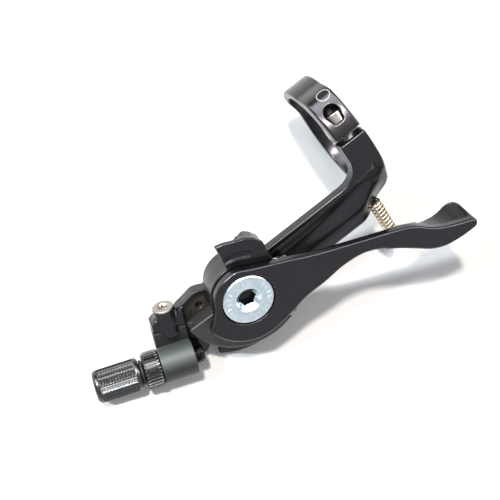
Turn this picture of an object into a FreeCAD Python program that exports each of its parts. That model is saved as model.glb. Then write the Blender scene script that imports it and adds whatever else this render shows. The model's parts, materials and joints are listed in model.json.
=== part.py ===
import FreeCAD, Part
import math
import os
import re

import Sketcher

V = FreeCAD.Vector
DOC = FreeCAD.newDocument("thumb_shifter")
DIMS = DOC.addObject("Spreadsheet::Sheet", "dims")

# Driving dimensions in millimetres and degrees.  Row frame: origin at the centre of the
# handlebar clamp bore, +X along the handlebar towards the hub, +Z along the lever's pivot.
SIZES = {
    # handlebar clamp
    "bar_radius": 15.9,
    "band_wall": 2.4,
    "band_half_width": 3.8,
    "band_far_half_width": 1.5,
    "band_middle_angle": 125.0,
    "taper_reach": 24.0,
    "taper_far": 12.0,
    "taper_near": 3.0,
    "gap_start": 110.0,
    "gap_end": 115.5,
    "elbow_outer_radius": 20.8,
    "elbow_low_angle": 37.0,
    "boss_high_angle": 154.0,
    "bar_clearance_radius": 16.6,
    # clamp bolt, M3 with a lobed socket
    "clamp_bolt_angle": 115.5,
    "clamp_bolt_offset": 17.95,
    "clamp_bolt_radius": 1.5,
    "clamp_head_radius": 2.3,
    "clamp_head_height": 2.8,
    "clamp_head_seat": 3.4,
    "clamp_pocket_room": 0.4,
    "clamp_pocket_length": 5.4,
    "clamp_bolt_reach": 6.2,
    # arm from the clamp to the hub
    "arm_front_y": 3.1,
    "arm_back_y": 16.6,
    "arm_top": 19.4,
    "arm_low": 13.0,
    "arm_web_top": 17.5,
    "arm_rim": 1.7,
    "arm_back_flange": 3.4,
    "arm_inner_bend": 5.5,
    "arm_outer_bend": 8.0,
    # hub position and the stack of layers on it
    "pivot_x": 45.0,
    "pivot_y": 4.6,
    "base_bottom": 16.6,
    "base_top": 20.7,
    "base_small_radius": 8.4,
    "base_large_radius": 14.6,
    "guard_radius": 21.6,
    "guard_bottom": 18.3,
    "guard_gap": 0.3,
    "guard_start": -4.0,
    "guard_end": 72.0,
    "guard_notch_start": 33.0,
    "guard_notch_end": 42.0,
    "guard_notch_radius": 16.3,
    "base_start": -12.0,
    "base_end": 160.0,
    "ear_wall": 0.4,
    "drum_bottom": 21.1,
    "drum_top": 25.6,
    "boss_top": 27.1,
    "lever_bottom": 27.2,
    "lever_top": 30.0,
    "lever_floor": 28.2,
    # pivot
    "post_radius": 3.5,
    "post_flange_radius": 4.9,
    "post_flange_height": 1.6,
    "running_gap": 0.05,
    "pivot_thread_radius": 2.0,
    "cap_radius": 6.85,
    "cap_seat_radius": 7.0,
    "cap_bottom": 28.55,
    "cap_socket_radius": 2.3,
    "cap_neck_radius": 2.85,
    "cap_neck_bottom": 26.4,
    "bush_radius": 4.6,
    # main lever
    "lever_angle": 155.0,
    "lever_small_radius": 9.1,
    "lever_large_radius": 12.4,
    "lever_bar_side": 8.4,
    "lever_neck_start": 26.0,
    "lever_neck_side": 6.8,
    "lever_neck_back": 3.0,
    "lever_neck_at": 33.5,
    "pad_start": 46.5,
    "pad_mid": 55.0,
    "pad_end": 64.8,
    "pad_face_side": 3.3,
    "pad_back_side": 2.3,
    "pad_bottom": 18.8,
    # cable drum
    "drum_radius": 17.0,
    "drum_collar_radius": 8.0,
    "drum_boss_radius": 7.7,
    "drum_groove_radius": 15.1,
    "drum_groove_low": 22.8,
    "drum_groove_high": 24.6,
    "drum_sector_start": -2.0,
    "drum_sector_end": 128.0,
    "nipple_radius": 1.7,
    "nipple_angle": 112.0,
    "pin_radius": 1.0,
    "pin_circle": 5.8,
    "pin_bottom": 24.9,
    "spring_pocket_inner": 4.5,
    "spring_pocket_outer": 6.7,
    "spring_pocket_top": 24.6,
    # index cam and its ball
    "cam_inner_radius": 6.2,
    "cam_outer_radius": 12.6,
    "cam_bottom": 18.9,
    "cam_start": 30.0,
    "cam_end": 170.0,
    "track_radius": 9.6,
    "ball_radius": 1.1,
    "ball_height": 20.95,
    "ball_angle": 60.0,
    "click_angle": 21.0,
    "track_margin": 0.1,
    "track_overrun": 10.0,
    "notch_depth": 0.3,
    "cam_screw_radius": 0.95,
    "cam_screw_inset": 10.0,
    "cam_screw_recess": 0.4,
    # coil springs
    "coil_clearance": 0.2,
    "detent_coil_play": 0.3,
    "detent_wire": 0.15,
    "detent_turns": 5.0,
    "return_wire": 0.35,
    "return_turns": 2.0,
    "return_coil_play": 0.8,
    "pawl_wire": 0.2,
    "pawl_coil_play": 0.35,
    "pawl_turns": 3.0,
    "pawl_coil_height": 1.5,
    "pawl_coil_lift": 0.3,
    "trigger_wire": 0.2,
    "trigger_turns": 4.0,
    "trigger_coil_radius": 1.1,
    "trigger_coil_height": 2.4,
    "trigger_coil_offset": 1.9,
    "trigger_coil_angle": 14.0,
    # release trigger
    "trigger_bottom": 25.75,
    "trigger_ring_outer": 9.1,
    "nub_radius": 15.4,
    "nub_bottom": 21.6,
    "nub_top": 27.0,
    "nub_start": -163.0,
    "nub_end": -96.0,
    "nub_wall": 1.8,
    "skirt_start": -100.0,
    "skirt_end": -4.0,
    "skirt_inner_radius": 8.25,
    "skirt_bottom": 21.2,
    "wall_end": -121.0,
    # pawl that holds the drum until the trigger lifts it
    "pawl_circle": 9.9,
    "pawl_angle": -135.0,
    "pawl_eye_radius": 1.65,
    "pawl_pin_radius": 0.8,
    "pawl_top": 23.0,
    "pawl_tooth_offset": 0.4,
    "pawl_tooth_length": 4.9,
    "pawl_tooth_width": 1.2,
    "pawl_tooth_turn": -135.0,
    "pawl_notch_start": -212.0,
    "pawl_notch_sweep": 66.0,
    "pawl_notch_depth": 0.9,
    # cable stop: bracket, housing, barrel
    "cable_side": -15.6,
    "cable_height": 23.8,
    "stop_position": -20.1,
    "stop_length": 9.0,
    "stop_radius": 4.6,
    "seam_side": -9.0,
    "stop_screw_height": 19.5,
    "stop_screw_start": -2.4,
    "stop_screw_radius": 1.5,
    "stop_head_radius": 2.8,
    "stop_head_height": 1.5,
    "bracket_boss_radius": 2.9,
    "tab_half_width": 4.4,
    "tab_bottom": 17.0,
    "tab_top": 21.6,
    "barrel_thread_radius": 2.5,
    "barrel_radius": 4.25,
    "barrel_length": 11.8,
    "lock_ring_radius": 4.95,
    "lock_ring_width": 4.4,
    "thread_stub": 2.6,
    "cable_hole_radius": 1.0,
    "housing_hole_radius": 2.55,
    # buffer spring that stands out from the arm's back, under the lever bar
    "support_x": 3.3,
    "support_height": 16.0,
    "support_seat": 16.9,
    "support_end": 26.4,
    "support_seat_radius": 2.2,
    "support_seat_depth": 2.9,
    "support_spring_radius": 1.6,
    "support_wire_radius": 0.25,
    "support_turns": 7.0,
    "support_post_radius": 1.0,
    "support_post_depth": 2.5,
    "support_cap": 1.0,
}
for row_number, (alias, size) in enumerate(SIZES.items(), start=1):
    DIMS.set("A%d" % row_number, alias)
    DIMS.set("B%d" % row_number, str(size))
    DIMS.setAlias("B%d" % row_number, alias)
DOC.recompute()


def size(alias):
    """The value of one cell of the sheet."""
    return float(getattr(DIMS, alias))


def bind(obj, prop, formula):
    """Drive a property from the sheet; words in the formula are aliases."""
    obj.setExpression(prop, re.sub(r"[a-z_]+", lambda word: "dims." + word[0]
                                   if word[0] in SIZES else word[0], formula))


def at(obj, x="0", y="0", z="0"):
    """Place an object by formulas."""
    for axis, formula in zip("xyz", (x, y, z)):
        bind(obj, "Placement.Base." + axis, formula)
    return obj


def turn(obj, axis, degrees):
    """Turn an object about its own placement point."""
    obj.Placement.Rotation = FreeCAD.Rotation(V(*axis), degrees)
    return obj


def cylinder(name, radius, height, x="0", y="0", z="0", axis=None, degrees=0, sweep=None):
    obj = DOC.addObject("Part::Cylinder", name)
    bind(obj, "Radius", radius)
    bind(obj, "Height", height)
    if sweep is not None:
        bind(obj, "Angle", sweep)
    if axis is not None:
        turn(obj, axis, degrees)
    return at(obj, x, y, z)


def box(name, length, width, height, x="0", y="0", z="0", axis=None, degrees=0):
    obj = DOC.addObject("Part::Box", name)
    bind(obj, "Length", length)
    bind(obj, "Width", width)
    bind(obj, "Height", height)
    if axis is not None:
        turn(obj, axis, degrees)
    return at(obj, x, y, z)


def fuse(name, parts):
    obj = DOC.addObject("Part::MultiFuse", name)
    obj.Shapes = parts
    obj.Refine = True
    return obj


def cut(name, base, tool):
    obj = DOC.addObject("Part::Cut", name)
    obj.Base = base
    obj.Tool = tool
    obj.Refine = True
    return obj


def cut_all(name, base, tools):
    return cut(name, base, fuse(name + "_tools", tools) if len(tools) > 1 else tools[0])


def common(name, parts):
    obj = DOC.addObject("Part::MultiCommon", name)
    obj.Shapes = parts
    return obj


def origin_plane(body, role):
    return next(f for f in body.Origin.OriginFeatures if f.Role == role)


def polygon_pad(name, corners, bottom, height, plane="XY_Plane", fillets=()):
    """A body made by padding a closed polygon; corners are pairs of formulas."""
    body = DOC.addObject("PartDesign::Body", name)
    sketch = body.newObject("Sketcher::SketchObject", name + "_sketch")
    sketch.AttachmentSupport = [(origin_plane(body, plane), "")]
    sketch.MapMode = "FlatFace"
    bind(sketch, "AttachmentOffset.Base.z", bottom)
    values = [tuple(evaluate(word) for word in corner) for corner in corners]
    count = len(corners)
    for number in range(count):
        start = V(values[number][0], values[number][1], 0)
        end = V(values[(number + 1) % count][0], values[(number + 1) % count][1], 0)
        sketch.addGeometry(Part.LineSegment(start, end), False)
    for number in range(count):
        sketch.addConstraint(Sketcher.Constraint("Coincident", number, 2, (number + 1) % count, 1))
    for number, corner in enumerate(corners):
        for kind, formula, value in zip(("DistanceX", "DistanceY"), corner, values[number]):
            index = sketch.addConstraint(Sketcher.Constraint(kind, -1, 1, number, 1, value))
            bind(sketch, "Constraints[%d]" % index, formula)
    pad = body.newObject("PartDesign::Pad", name + "_pad")
    pad.Profile = sketch
    bind(pad, "Length", height)
    DOC.recompute()
    last = pad
    for number, (x, y, radius) in enumerate(fillets):
        last = round_upright_edge(body, last, "%s_fillet%d" % (name, number), x, y, radius)
    body.Tip = last
    return body


def round_upright_edge(body, base, name, x, y, radius):
    """Fillet the body's upright edge that stands at (x, y) in the body's own frame."""
    fillet = body.newObject("PartDesign::Fillet", name)
    names = []
    for number, edge in enumerate(base.Shape.Edges, start=1):
        start, end = edge.Vertexes[0].Point, edge.Vertexes[-1].Point
        upright = abs(start.z - end.z) > 0.5 and math.hypot(start.x - end.x, start.y - end.y) < 0.01
        if upright and math.hypot(start.x - evaluate(x), start.y - evaluate(y)) < 0.05:
            names.append("Edge%d" % number)
    fillet.Base = (base, names)
    bind(fillet, "Radius", radius)
    DOC.recompute()
    return fillet


def evaluate(formula):
    """The number a formula of aliases gives; DIMS holds every alias."""
    return float(DIMS.evalExpression(formula))


def hub(obj):
    """Put an object drawn about the pivot's foot on the pivot."""
    bind(obj, "Placement.Base.x", "pivot_x")
    bind(obj, "Placement.Base.y", "pivot_y")
    return obj


def lever_frame(obj):
    """The lever's own directions: x towards the thumb pad, y towards the handlebar."""
    hub(obj)
    obj.Placement.Rotation = FreeCAD.Rotation(V(0, 0, 1), size("lever_angle"))
    return obj


def hub_sector(name, radius, bottom, height, start, sweep):
    """A pie slice about the pivot, from an angle and over a sweep."""
    obj = cylinder(name, radius, height, "pivot_x", "pivot_y", bottom,
                   axis=(0, 0, 1), degrees=evaluate(start), sweep=sweep)
    return obj


def hub_disc(name, radius, bottom, top):
    return cylinder(name, radius, "( %s ) - ( %s )" % (top, bottom), "pivot_x", "pivot_y", bottom)


def bar_sector(name, radius, left, width, start, sweep):
    """A pie slice about the handlebar's axis; angles run from +Y towards +Z."""
    obj = DOC.addObject("Part::Cylinder", name)
    bind(obj, "Radius", radius)
    bind(obj, "Height", width)
    bind(obj, "Angle", sweep)
    upright = FreeCAD.Rotation(V(0, 1, 0), 90)
    first = FreeCAD.Rotation(V(1, 0, 0), evaluate(start) + 90)
    obj.Placement.Rotation = first.multiply(upright)
    return at(obj, left)


PARTS = {}
CAM_SCREW_ANGLES = ("cam_start + cam_screw_inset", "cam_end - cam_screw_inset")


def node(name, obj):
    """Register a finished sub-part under the name of its file."""
    obj.Label = name
    PARTS[name] = obj
    return obj


# --- casting: clamp ring, arm, hub base and cable stop bracket ---------------------------

def band_taper():
    """The ring is full width on the bolt side and narrows on the far side."""
    far, near = "band_far_half_width", "band_half_width"
    body = polygon_pad("band_taper", [
        ("- " + far, "- taper_reach"),
        (far, "- taper_reach"),
        (far, "- taper_far"),
        (near, "- taper_near"),
        (near, "taper_reach"),
        ("- " + near, "taper_reach"),
        ("- " + near, "- taper_near"),
        ("- " + far, "- taper_far"),
    ], "- taper_reach", "2 * taper_reach")
    return turn(body, (1, 0, 0), size("band_middle_angle"))


def across_bar(name, radius, half_width):
    """A cylinder on the handlebar's axis, centred on the clamp."""
    return cylinder(name, radius, "2 * " + half_width, "- " + half_width,
                    axis=(0, 1, 0), degrees=90)


def clamp_band():
    ring = common("band", [across_bar("band_round", "bar_radius + band_wall", "band_half_width"),
                           band_taper()])
    boss = bar_sector("bolt_boss", "elbow_outer_radius", "- band_half_width",
                      "2 * band_half_width", "gap_end", "boss_high_angle - gap_end")
    elbow = bar_sector("elbow", "elbow_outer_radius", "- band_half_width",
                       "2 * band_half_width", "elbow_low_angle", "gap_start - elbow_low_angle")
    return [ring, boss, elbow]


def arm():
    """The channel from the elbow to the hub, over the top of the handlebar."""
    plan = polygon_pad("arm_plan", [
        ("band_half_width", "- arm_front_y"),
        ("band_half_width", "arm_front_y"),
        ("pivot_x", "arm_front_y"),
        ("pivot_x", "arm_back_y"),
        ("- band_half_width", "arm_back_y"),
        ("- band_half_width", "- arm_front_y"),
    ], "arm_low", "2 * arm_low", fillets=[
        ("band_half_width", "arm_front_y", "arm_inner_bend"),
        ("- band_half_width", "arm_back_y", "arm_outer_bend"),
    ])
    section = polygon_pad("arm_section", [
        ("arm_front_y", "arm_web_top - arm_back_flange"),
        ("arm_front_y", "arm_top - arm_rim / 2"),
        ("arm_front_y + arm_rim / 2", "arm_top"),
        ("arm_back_y - arm_back_flange / 2", "arm_top"),
        ("arm_back_y", "arm_top - arm_rim"),
        ("arm_back_y", "arm_low"),
        ("arm_back_y - arm_back_flange", "arm_low"),
    ], "- band_half_width", "pivot_x + band_half_width", plane="YZ_Plane")
    return common("arm_channel", [plan, section])


def web_recess():
    return polygon_pad("web_recess", [
        ("arm_rim / 2", "arm_front_y + 2 * arm_rim"),
        ("arm_outer_bend", "arm_front_y + arm_rim"),
        ("pivot_x - base_small_radius", "arm_front_y + arm_rim"),
        ("pivot_x - base_small_radius", "arm_back_y - arm_back_flange / 2"),
        ("arm_outer_bend", "arm_back_y - arm_back_flange"),
        ("arm_rim / 2", "arm_back_y - 2 * arm_back_flange"),
    ], "arm_web_top", "arm_back_flange")


def hub_base():
    small = hub_disc("base_small", "base_small_radius", "base_bottom", "base_top")
    large = hub_sector("base_large", "base_large_radius", "base_bottom",
                       "base_top - base_bottom", "base_start", "base_end - base_start")
    guard_disc = hub_sector("guard_disc", "guard_radius", "guard_bottom",
                            "base_top - guard_bottom", "guard_start", "guard_end - guard_start")
    notch = cut("guard_notch",
                hub_sector("notch_outer", "2 * guard_radius", "base_bottom",
                           "base_top - base_bottom + 1", "guard_notch_start",
                           "guard_notch_end - guard_notch_start"),
                hub_disc("notch_inner", "guard_notch_radius", "base_bottom - 1", "base_top + 2"))
    stop_space = lever_frame(polygon_pad("stop_space", [
        ("- 2 * guard_radius", "0.001"),
        ("stop_position + tab_half_width + guard_gap", "0.001"),
        ("stop_position + tab_half_width + guard_gap", "cable_side - guard_gap"),
        ("- 2 * guard_radius", "cable_side - guard_gap"),
    ], "base_bottom - 1", "base_top - base_bottom + 2"))
    guard = cut_all("cable_guard", guard_disc, [notch, stop_space])
    ear = cylinder("pawl_ear", "pawl_eye_radius + ear_wall", "base_top - base_bottom",
                   *hub_point("pawl_circle", "pawl_angle"), "base_bottom")
    return [small, large, guard, ear]


def hub_point(radius, angle):
    """Formulas for a point on a circle about the pivot."""
    return ("pivot_x + ( %s ) * cos(( %s ) * 1 deg)" % (radius, angle),
            "pivot_y + ( %s ) * sin(( %s ) * 1 deg)" % (radius, angle))


def lever_point(along, side):
    """Formulas for a point given in the lever's frame."""
    cosine, sine = "cos( lever_angle * 1 deg )", "sin( lever_angle * 1 deg )"
    return ("pivot_x + ( %s ) * %s - ( %s ) * %s" % (along, cosine, side, sine),
            "pivot_y + ( %s ) * %s + ( %s ) * %s" % (along, sine, side, cosine))


def direction(degrees):
    """The turn that lays a cylinder's axis flat, pointing at an angle from +X."""
    angle = math.radians(degrees)
    return FreeCAD.Rotation(V(0, 0, 1), V(math.cos(angle), math.sin(angle), 0))


def flat_cylinder(name, radius, length, along, side, height, degrees):
    """A cylinder lying in the lever's plane, from a point in the lever's frame."""
    obj = cylinder(name, radius, length, *lever_point(along, side), height)
    obj.Placement.Rotation = direction(degrees)
    return obj


def towards_cable(name, radius, start, length):
    """A cylinder on the cable's line; start is measured from the stop's middle, outwards."""
    return flat_cylinder(name, radius, length, "stop_position - ( %s )" % start, "cable_side",
                         "cable_height", size("lever_angle") + 180)


def along_stop_screw(name, radius, start, length):
    """A cylinder on the stop screw's line; start is measured from under its head."""
    return flat_cylinder(name, radius, length, "stop_position", "stop_screw_start - ( %s )" % start,
                         "stop_screw_height", size("lever_angle") - 90)


def bracket():
    plate = lever_frame(polygon_pad("bracket_plate", [
        ("- 4", "7.2"),
        ("- 9.5", "1.6"),
        ("stop_position + stop_head_radius + 0.6", "- 1.4"),
        ("stop_position + stop_head_radius + 0.4", "stop_screw_start"),
        ("stop_position - bracket_boss_radius", "stop_screw_start"),
        ("stop_position - bracket_boss_radius", "seam_side"),
        ("stop_position + tab_half_width + 0.3", "seam_side"),
        ("stop_position + tab_half_width + 0.3", "seam_side - 3.6"),
        ("- 7", "- 12.4"),
    ], "tab_bottom", "base_top - tab_bottom"))
    boss = along_stop_screw("bracket_boss", "bracket_boss_radius", "0",
                            "stop_screw_start - seam_side")
    return [plate, boss]


def bar_bolt(name, radius, start, length):
    """A cylinder on the clamp bolt's line; start is measured from the gap towards the head."""
    obj = DOC.addObject("Part::Cylinder", name)
    bind(obj, "Radius", radius)
    bind(obj, "Height", length)
    angle = "clamp_bolt_angle * 1 deg"
    at(obj, "0",
       "clamp_bolt_offset * cos( %s ) - ( %s ) * sin( %s )" % (angle, start, angle),
       "clamp_bolt_offset * sin( %s ) + ( %s ) * cos( %s )" % (angle, start, angle))
    turned = math.radians(size("clamp_bolt_angle"))
    obj.Placement.Rotation = FreeCAD.Rotation(V(0, 0, 1), V(0, -math.sin(turned), math.cos(turned)))
    return obj


def arm_body():
    solid = fuse("casting", clamp_band() + [arm()] + hub_base() + bracket() + [
        behind_arm("support_boss", "support_seat_radius", "support_seat - support_seat_depth",
                   "support_seat")])
    bore = across_bar("bar_bore", "bar_radius", "band_half_width")
    clearance = cylinder("bar_clearance", "bar_clearance_radius", "2 * pivot_x", "band_half_width",
                         axis=(0, 1, 0), degrees=90)
    gap = bar_sector("clamp_gap", "2 * bar_radius", "- pivot_x", "2 * pivot_x", "gap_start",
                     "gap_end - gap_start")
    tools = [
        bore, clearance, gap, web_recess(),
        bar_bolt("bolt_clearance", "clamp_bolt_radius + 0.15", "0", "clamp_head_seat + 1"),
        bar_bolt("bolt_thread_hole", "clamp_bolt_radius", "- clamp_bolt_reach", "clamp_bolt_reach"),
        bar_bolt("bolt_head_pocket", "clamp_head_radius + clamp_pocket_room", "clamp_head_seat",
                 "clamp_pocket_length"),
        hub_disc("post_hole", "post_radius", "base_bottom - 1", "base_top + 1"),
        hub_disc("post_flange_seat", "post_flange_radius + running_gap", "base_bottom - 1",
                 "base_bottom + post_flange_height"),
        cut("cam_seat",
            hub_sector("cam_seat_outer", "cam_outer_radius + running_gap", "cam_bottom",
                       "base_top", "cam_start - 0.5", "cam_end - cam_start + 1"),
            hub_disc("cam_seat_inner", "cam_inner_radius - running_gap", "base_bottom", "lever_top")),
        along_stop_screw("bracket_screw_hole", "stop_screw_radius + 0.15", "- 1", "9"),
        cylinder("pawl_pin_hole", "pawl_pin_radius", "base_top - base_bottom + 2",
                 *hub_point("pawl_circle", "pawl_angle"), "base_bottom - 1"),
        behind_arm("support_hole", "support_post_radius", "support_seat - support_post_depth",
                   "support_seat + 1"),
    ] + [cylinder("cam_thread%d" % number, "cam_screw_radius", "base_top - base_bottom + 1",
                  *hub_point("track_radius", angle), "base_bottom - 1")
         for number, angle in enumerate(CAM_SCREW_ANGLES)]
    node("arm_body", cut_all("arm_casting", solid, tools))


def clamp_bolt():
    shank = bar_bolt("clamp_shank", "clamp_bolt_radius", "- clamp_bolt_reach",
                     "clamp_bolt_reach + clamp_head_seat")
    head = bar_bolt("clamp_head", "clamp_head_radius", "clamp_head_seat", "clamp_head_height")
    socket = bar_bolt("clamp_socket", "clamp_bolt_radius * 0.9",
                      "clamp_head_seat + clamp_head_height / 3", "clamp_head_height")
    node("clamp_bolt", cut("clamp_bolt_cut", fuse("clamp_bolt_solid", [shank, head]), socket))


# --- pivot ------------------------------------------------------------------------------------

def tube(name, outer, inner, bottom, top):
    """A ring about the pivot."""
    return cut(name, hub_disc(name + "_outer", outer, bottom, top),
               hub_disc(name + "_inner", inner, bottom + " - 1", top + " + 1"))


def pivot_post():
    post = hub_disc("post_round", "post_radius", "base_bottom", "cap_bottom - running_gap")
    flange = hub_disc("post_flange", "post_flange_radius", "base_bottom",
                      "base_bottom + post_flange_height")
    thread = hub_disc("post_thread", "pivot_thread_radius", "base_bottom + 0.8", "lever_top")
    neck = hub_disc("post_neck_seat", "cap_neck_radius + running_gap", "cap_neck_bottom", "lever_top")
    node("pivot_post", cut_all("pivot_post_cut", fuse("pivot_post_solid", [post, flange]),
                               [thread, neck]))


def pivot_bolt():
    cap = hub_disc("cap_disc", "cap_radius", "cap_bottom", "lever_top")
    neck = hub_disc("cap_neck", "cap_neck_radius", "cap_neck_bottom", "lever_top")
    shank = hub_disc("cap_shank", "pivot_thread_radius", "base_top", "lever_top")
    solid = fuse("pivot_bolt_solid", [cap, neck, shank])
    socket = DOC.addObject("Part::Prism", "cap_socket")
    socket.Polygon = 6
    bind(socket, "Circumradius", "cap_socket_radius")
    bind(socket, "Height", "lever_top - lever_bottom + 1")
    at(socket, "pivot_x", "pivot_y", "lever_bottom")
    funnel = DOC.addObject("Part::Cone", "cap_funnel")
    bind(funnel, "Radius1", "cap_socket_radius - 0.3")
    bind(funnel, "Radius2", "cap_socket_radius + 1.0")
    bind(funnel, "Height", "( lever_top - cap_bottom ) * 0.7")
    at(funnel, "pivot_x", "pivot_y", "lever_top - ( lever_top - cap_bottom ) * 0.7")
    node("pivot_bolt", cut_all("pivot_bolt_cut", solid, [socket, funnel]))


def pivot_rings():
    node("lever_bush", tube("lever_bush_ring", "bush_radius", "post_radius + running_gap",
                            "lever_bottom", "lever_floor"))
    node("cap_washer", tube("cap_washer_ring", "cap_radius - 0.4", "post_radius + 0.2",
                            "lever_floor", "cap_bottom"))
    node("thrust_washer", tube("thrust_washer_ring", "spring_pocket_inner - 0.1",
                               "post_radius + 0.1", "base_top", "drum_bottom"))


# --- main lever -------------------------------------------------------------------------------

def lever_pad():
    """The thumb pad: a wall hanging below the lever's end, wider than the bar."""
    plan = lever_frame(polygon_pad("pad_plan", [
        ("pad_start - 6", "lever_neck_side"),
        ("pad_start", "lever_neck_side - 0.4"),
        ("pad_start + 5.5", "pad_face_side + 0.6"),
        ("pad_end - 3", "pad_face_side"),
        ("pad_end", "pad_face_side + 0.8"),
        ("pad_end", "pad_back_side / 2"),
        ("pad_end - 4.5", "- pad_back_side / 2"),
        ("pad_mid", "- pad_back_side"),
        ("pad_start + 4.5", "- pad_back_side"),
        ("pad_start", "0"),
        ("pad_start - 6", "lever_neck_back - 0.6"),
    ], "pad_bottom - 1", "lever_top - pad_bottom + 1"))
    profile = lever_frame(polygon_pad("pad_profile", [
        ("pad_start - 5", "lever_bottom"),
        ("pad_start - 1", "lever_bottom"),
        ("pad_start + 3", "lever_bottom - 2.4"),
        ("pad_mid - 1", "pad_bottom + 3.4"),
        ("pad_mid + 3.5", "pad_bottom + 2.2"),
        ("pad_end - 2.5", "pad_bottom"),
        ("pad_end - 0.5", "pad_bottom"),
        ("pad_end", "lever_bottom"),
        ("pad_end", "lever_top"),
        ("pad_start - 5", "lever_top"),
    ], "- lever_large_radius", "2 * lever_large_radius", plane="XZ_Plane"))
    return common("lever_pad", [plan, profile])


# Where the lever's back edge sweeps from the round hub into the bar, in the lever's frame.
LEVER_BACK_CURVE = [("6", "- 10.2"), ("10.5", "- 8"), ("15", "- 4.4"), ("20.5", "- 1.6")]


def lever_bar():
    corners = [
        ("- 3", "lever_bar_side"),
        ("0.001", "- lever_bar_side"),
    ] + LEVER_BACK_CURVE + [
        ("lever_neck_start", "1.3"),
        ("lever_neck_at - 2.5", "lever_neck_back"),
        ("lever_neck_at + 2.5", "lever_neck_back"),
        ("pad_start - 4.5", "1.2"),
        ("pad_start", "0.001"),
        ("pad_start", "lever_neck_side - 0.4"),
        ("lever_neck_start", "lever_neck_side"),
    ]
    return lever_frame(polygon_pad("lever_bar", corners, "lever_bottom",
                                   "lever_top - lever_bottom"))


def main_lever():
    disc = hub_disc("lever_disc", "lever_small_radius", "lever_bottom", "lever_top")
    lobe = hub_sector("lever_lobe", "lever_large_radius", "lever_bottom",
                      "lever_top - lever_bottom", "0", "112")
    solid = fuse("lever_solid", [disc, lobe, lever_bar(), lever_pad()])
    seat = hub_disc("cap_seat", "cap_seat_radius", "lever_floor", "lever_top + 1")
    bore = hub_disc("lever_bore", "bush_radius", "lever_bottom - 1", "lever_top")
    node("main_lever", cut_all("lever_cut", solid, [seat, bore] + pins("lever_pin_hole")))


def pins(name):
    """Two pins that key the lever to the drum, one on each side of the pivot."""
    return [cylinder("%s%d" % (name, number), "pin_radius", "lever_floor - pin_bottom",
                     *hub_point("pin_circle", angle), "pin_bottom")
            for number, angle in enumerate(("lever_angle", "lever_angle - 180"))]


# --- cable drum and its index -------------------------------------------------------------------

def cable_drum():
    height = "drum_top - drum_bottom"
    collar = hub_disc("drum_collar", "drum_collar_radius", "drum_bottom", "drum_top")
    sector = hub_sector("drum_sector", "drum_radius", "drum_bottom", height,
                        "drum_sector_start", "drum_sector_end - drum_sector_start")
    boss = hub_disc("drum_boss", "drum_boss_radius", "drum_bottom", "boss_top")
    groove = tube("drum_groove", "drum_radius + 1", "drum_groove_radius",
                  "drum_groove_low", "drum_groove_high")
    pocket = tube("drum_spring_pocket", "spring_pocket_outer", "spring_pocket_inner",
                  "drum_bottom", "spring_pocket_top")
    pawl_notch = cut("drum_pawl_notch",
                     hub_sector("pawl_notch_outer", "drum_radius", "drum_bottom",
                                "pawl_top - drum_bottom + 2 * running_gap", "pawl_notch_start",
                                "pawl_notch_sweep"),
                     hub_disc("pawl_notch_inner", "drum_collar_radius - pawl_notch_depth",
                              "drum_bottom - 1", "drum_top"))
    tools = [
        hub_disc("drum_bore", "post_radius + running_gap", "drum_bottom - 1", "boss_top + 1"),
        groove, pocket, pawl_notch,
        cylinder("drum_nipple_seat", "nipple_radius", height,
                 *hub_point("drum_groove_radius", "nipple_angle"), "drum_groove_low"),
        cylinder("drum_ball_hole", "ball_radius + running_gap", "drum_top - drum_bottom - 0.6",
                 *hub_point("track_radius", "ball_angle"), "drum_bottom"),
    ] + pins("drum_pin_hole")
    node("cable_drum", cut_all("drum_cut", fuse("drum_solid", [collar, sector, boss]), tools))
    node("drum_pins", fuse("drum_pin_pair", pins("drum_pin")))


def index_cam():
    """The C-shaped cam plate: a ball track with one notch across it at each click."""
    plate = cut("cam_plate",
                hub_sector("cam_outer", "cam_outer_radius", "cam_bottom",
                           "base_top - 0.1 - cam_bottom", "cam_start", "cam_end - cam_start"),
                hub_disc("cam_inner", "cam_inner_radius", "cam_bottom - 1", "base_top"))
    track = cut("cam_track",
                hub_sector("track_outer", "track_radius + ball_radius + track_margin",
                           "ball_height - ball_radius - track_margin", "2 * ball_radius",
                           "ball_angle - track_overrun", "2 * click_angle + 2 * track_overrun"),
                hub_disc("track_inner", "track_radius - ball_radius - track_margin", "base_bottom",
                         "base_top"))
    notches = [cylinder("cam_notch%d" % number, "ball_radius", "2 * ball_radius",
                        *hub_point("track_radius", "ball_angle + %d * click_angle" % number),
                        "ball_height - ball_radius - track_margin - notch_depth")
               for number in range(3)]
    screw_holes = [cylinder("cam_hole%d" % number, "cam_screw_radius", "3",
                            *hub_point("track_radius", angle), "cam_bottom - 0.5")
                   for number, angle in enumerate(CAM_SCREW_ANGLES)]
    node("index_cam", cut_all("cam_cut", plate, [track] + notches + screw_holes))
    screws = [cylinder("cam_screw%d" % number, "cam_screw_radius",
                       "base_top - cam_screw_recess / 2 - base_bottom - cam_screw_recess",
                       *hub_point("track_radius", angle), "base_bottom + cam_screw_recess")
              for number, angle in enumerate(CAM_SCREW_ANGLES)]
    node("cam_screws", fuse("cam_screw_pair", screws))


def index_ball():
    ball = DOC.addObject("Part::Sphere", "index_ball")
    bind(ball, "Radius", "ball_radius")
    at(ball, *hub_point("track_radius", "ball_angle"), "ball_height")
    node("detent_ball", ball)


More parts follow.
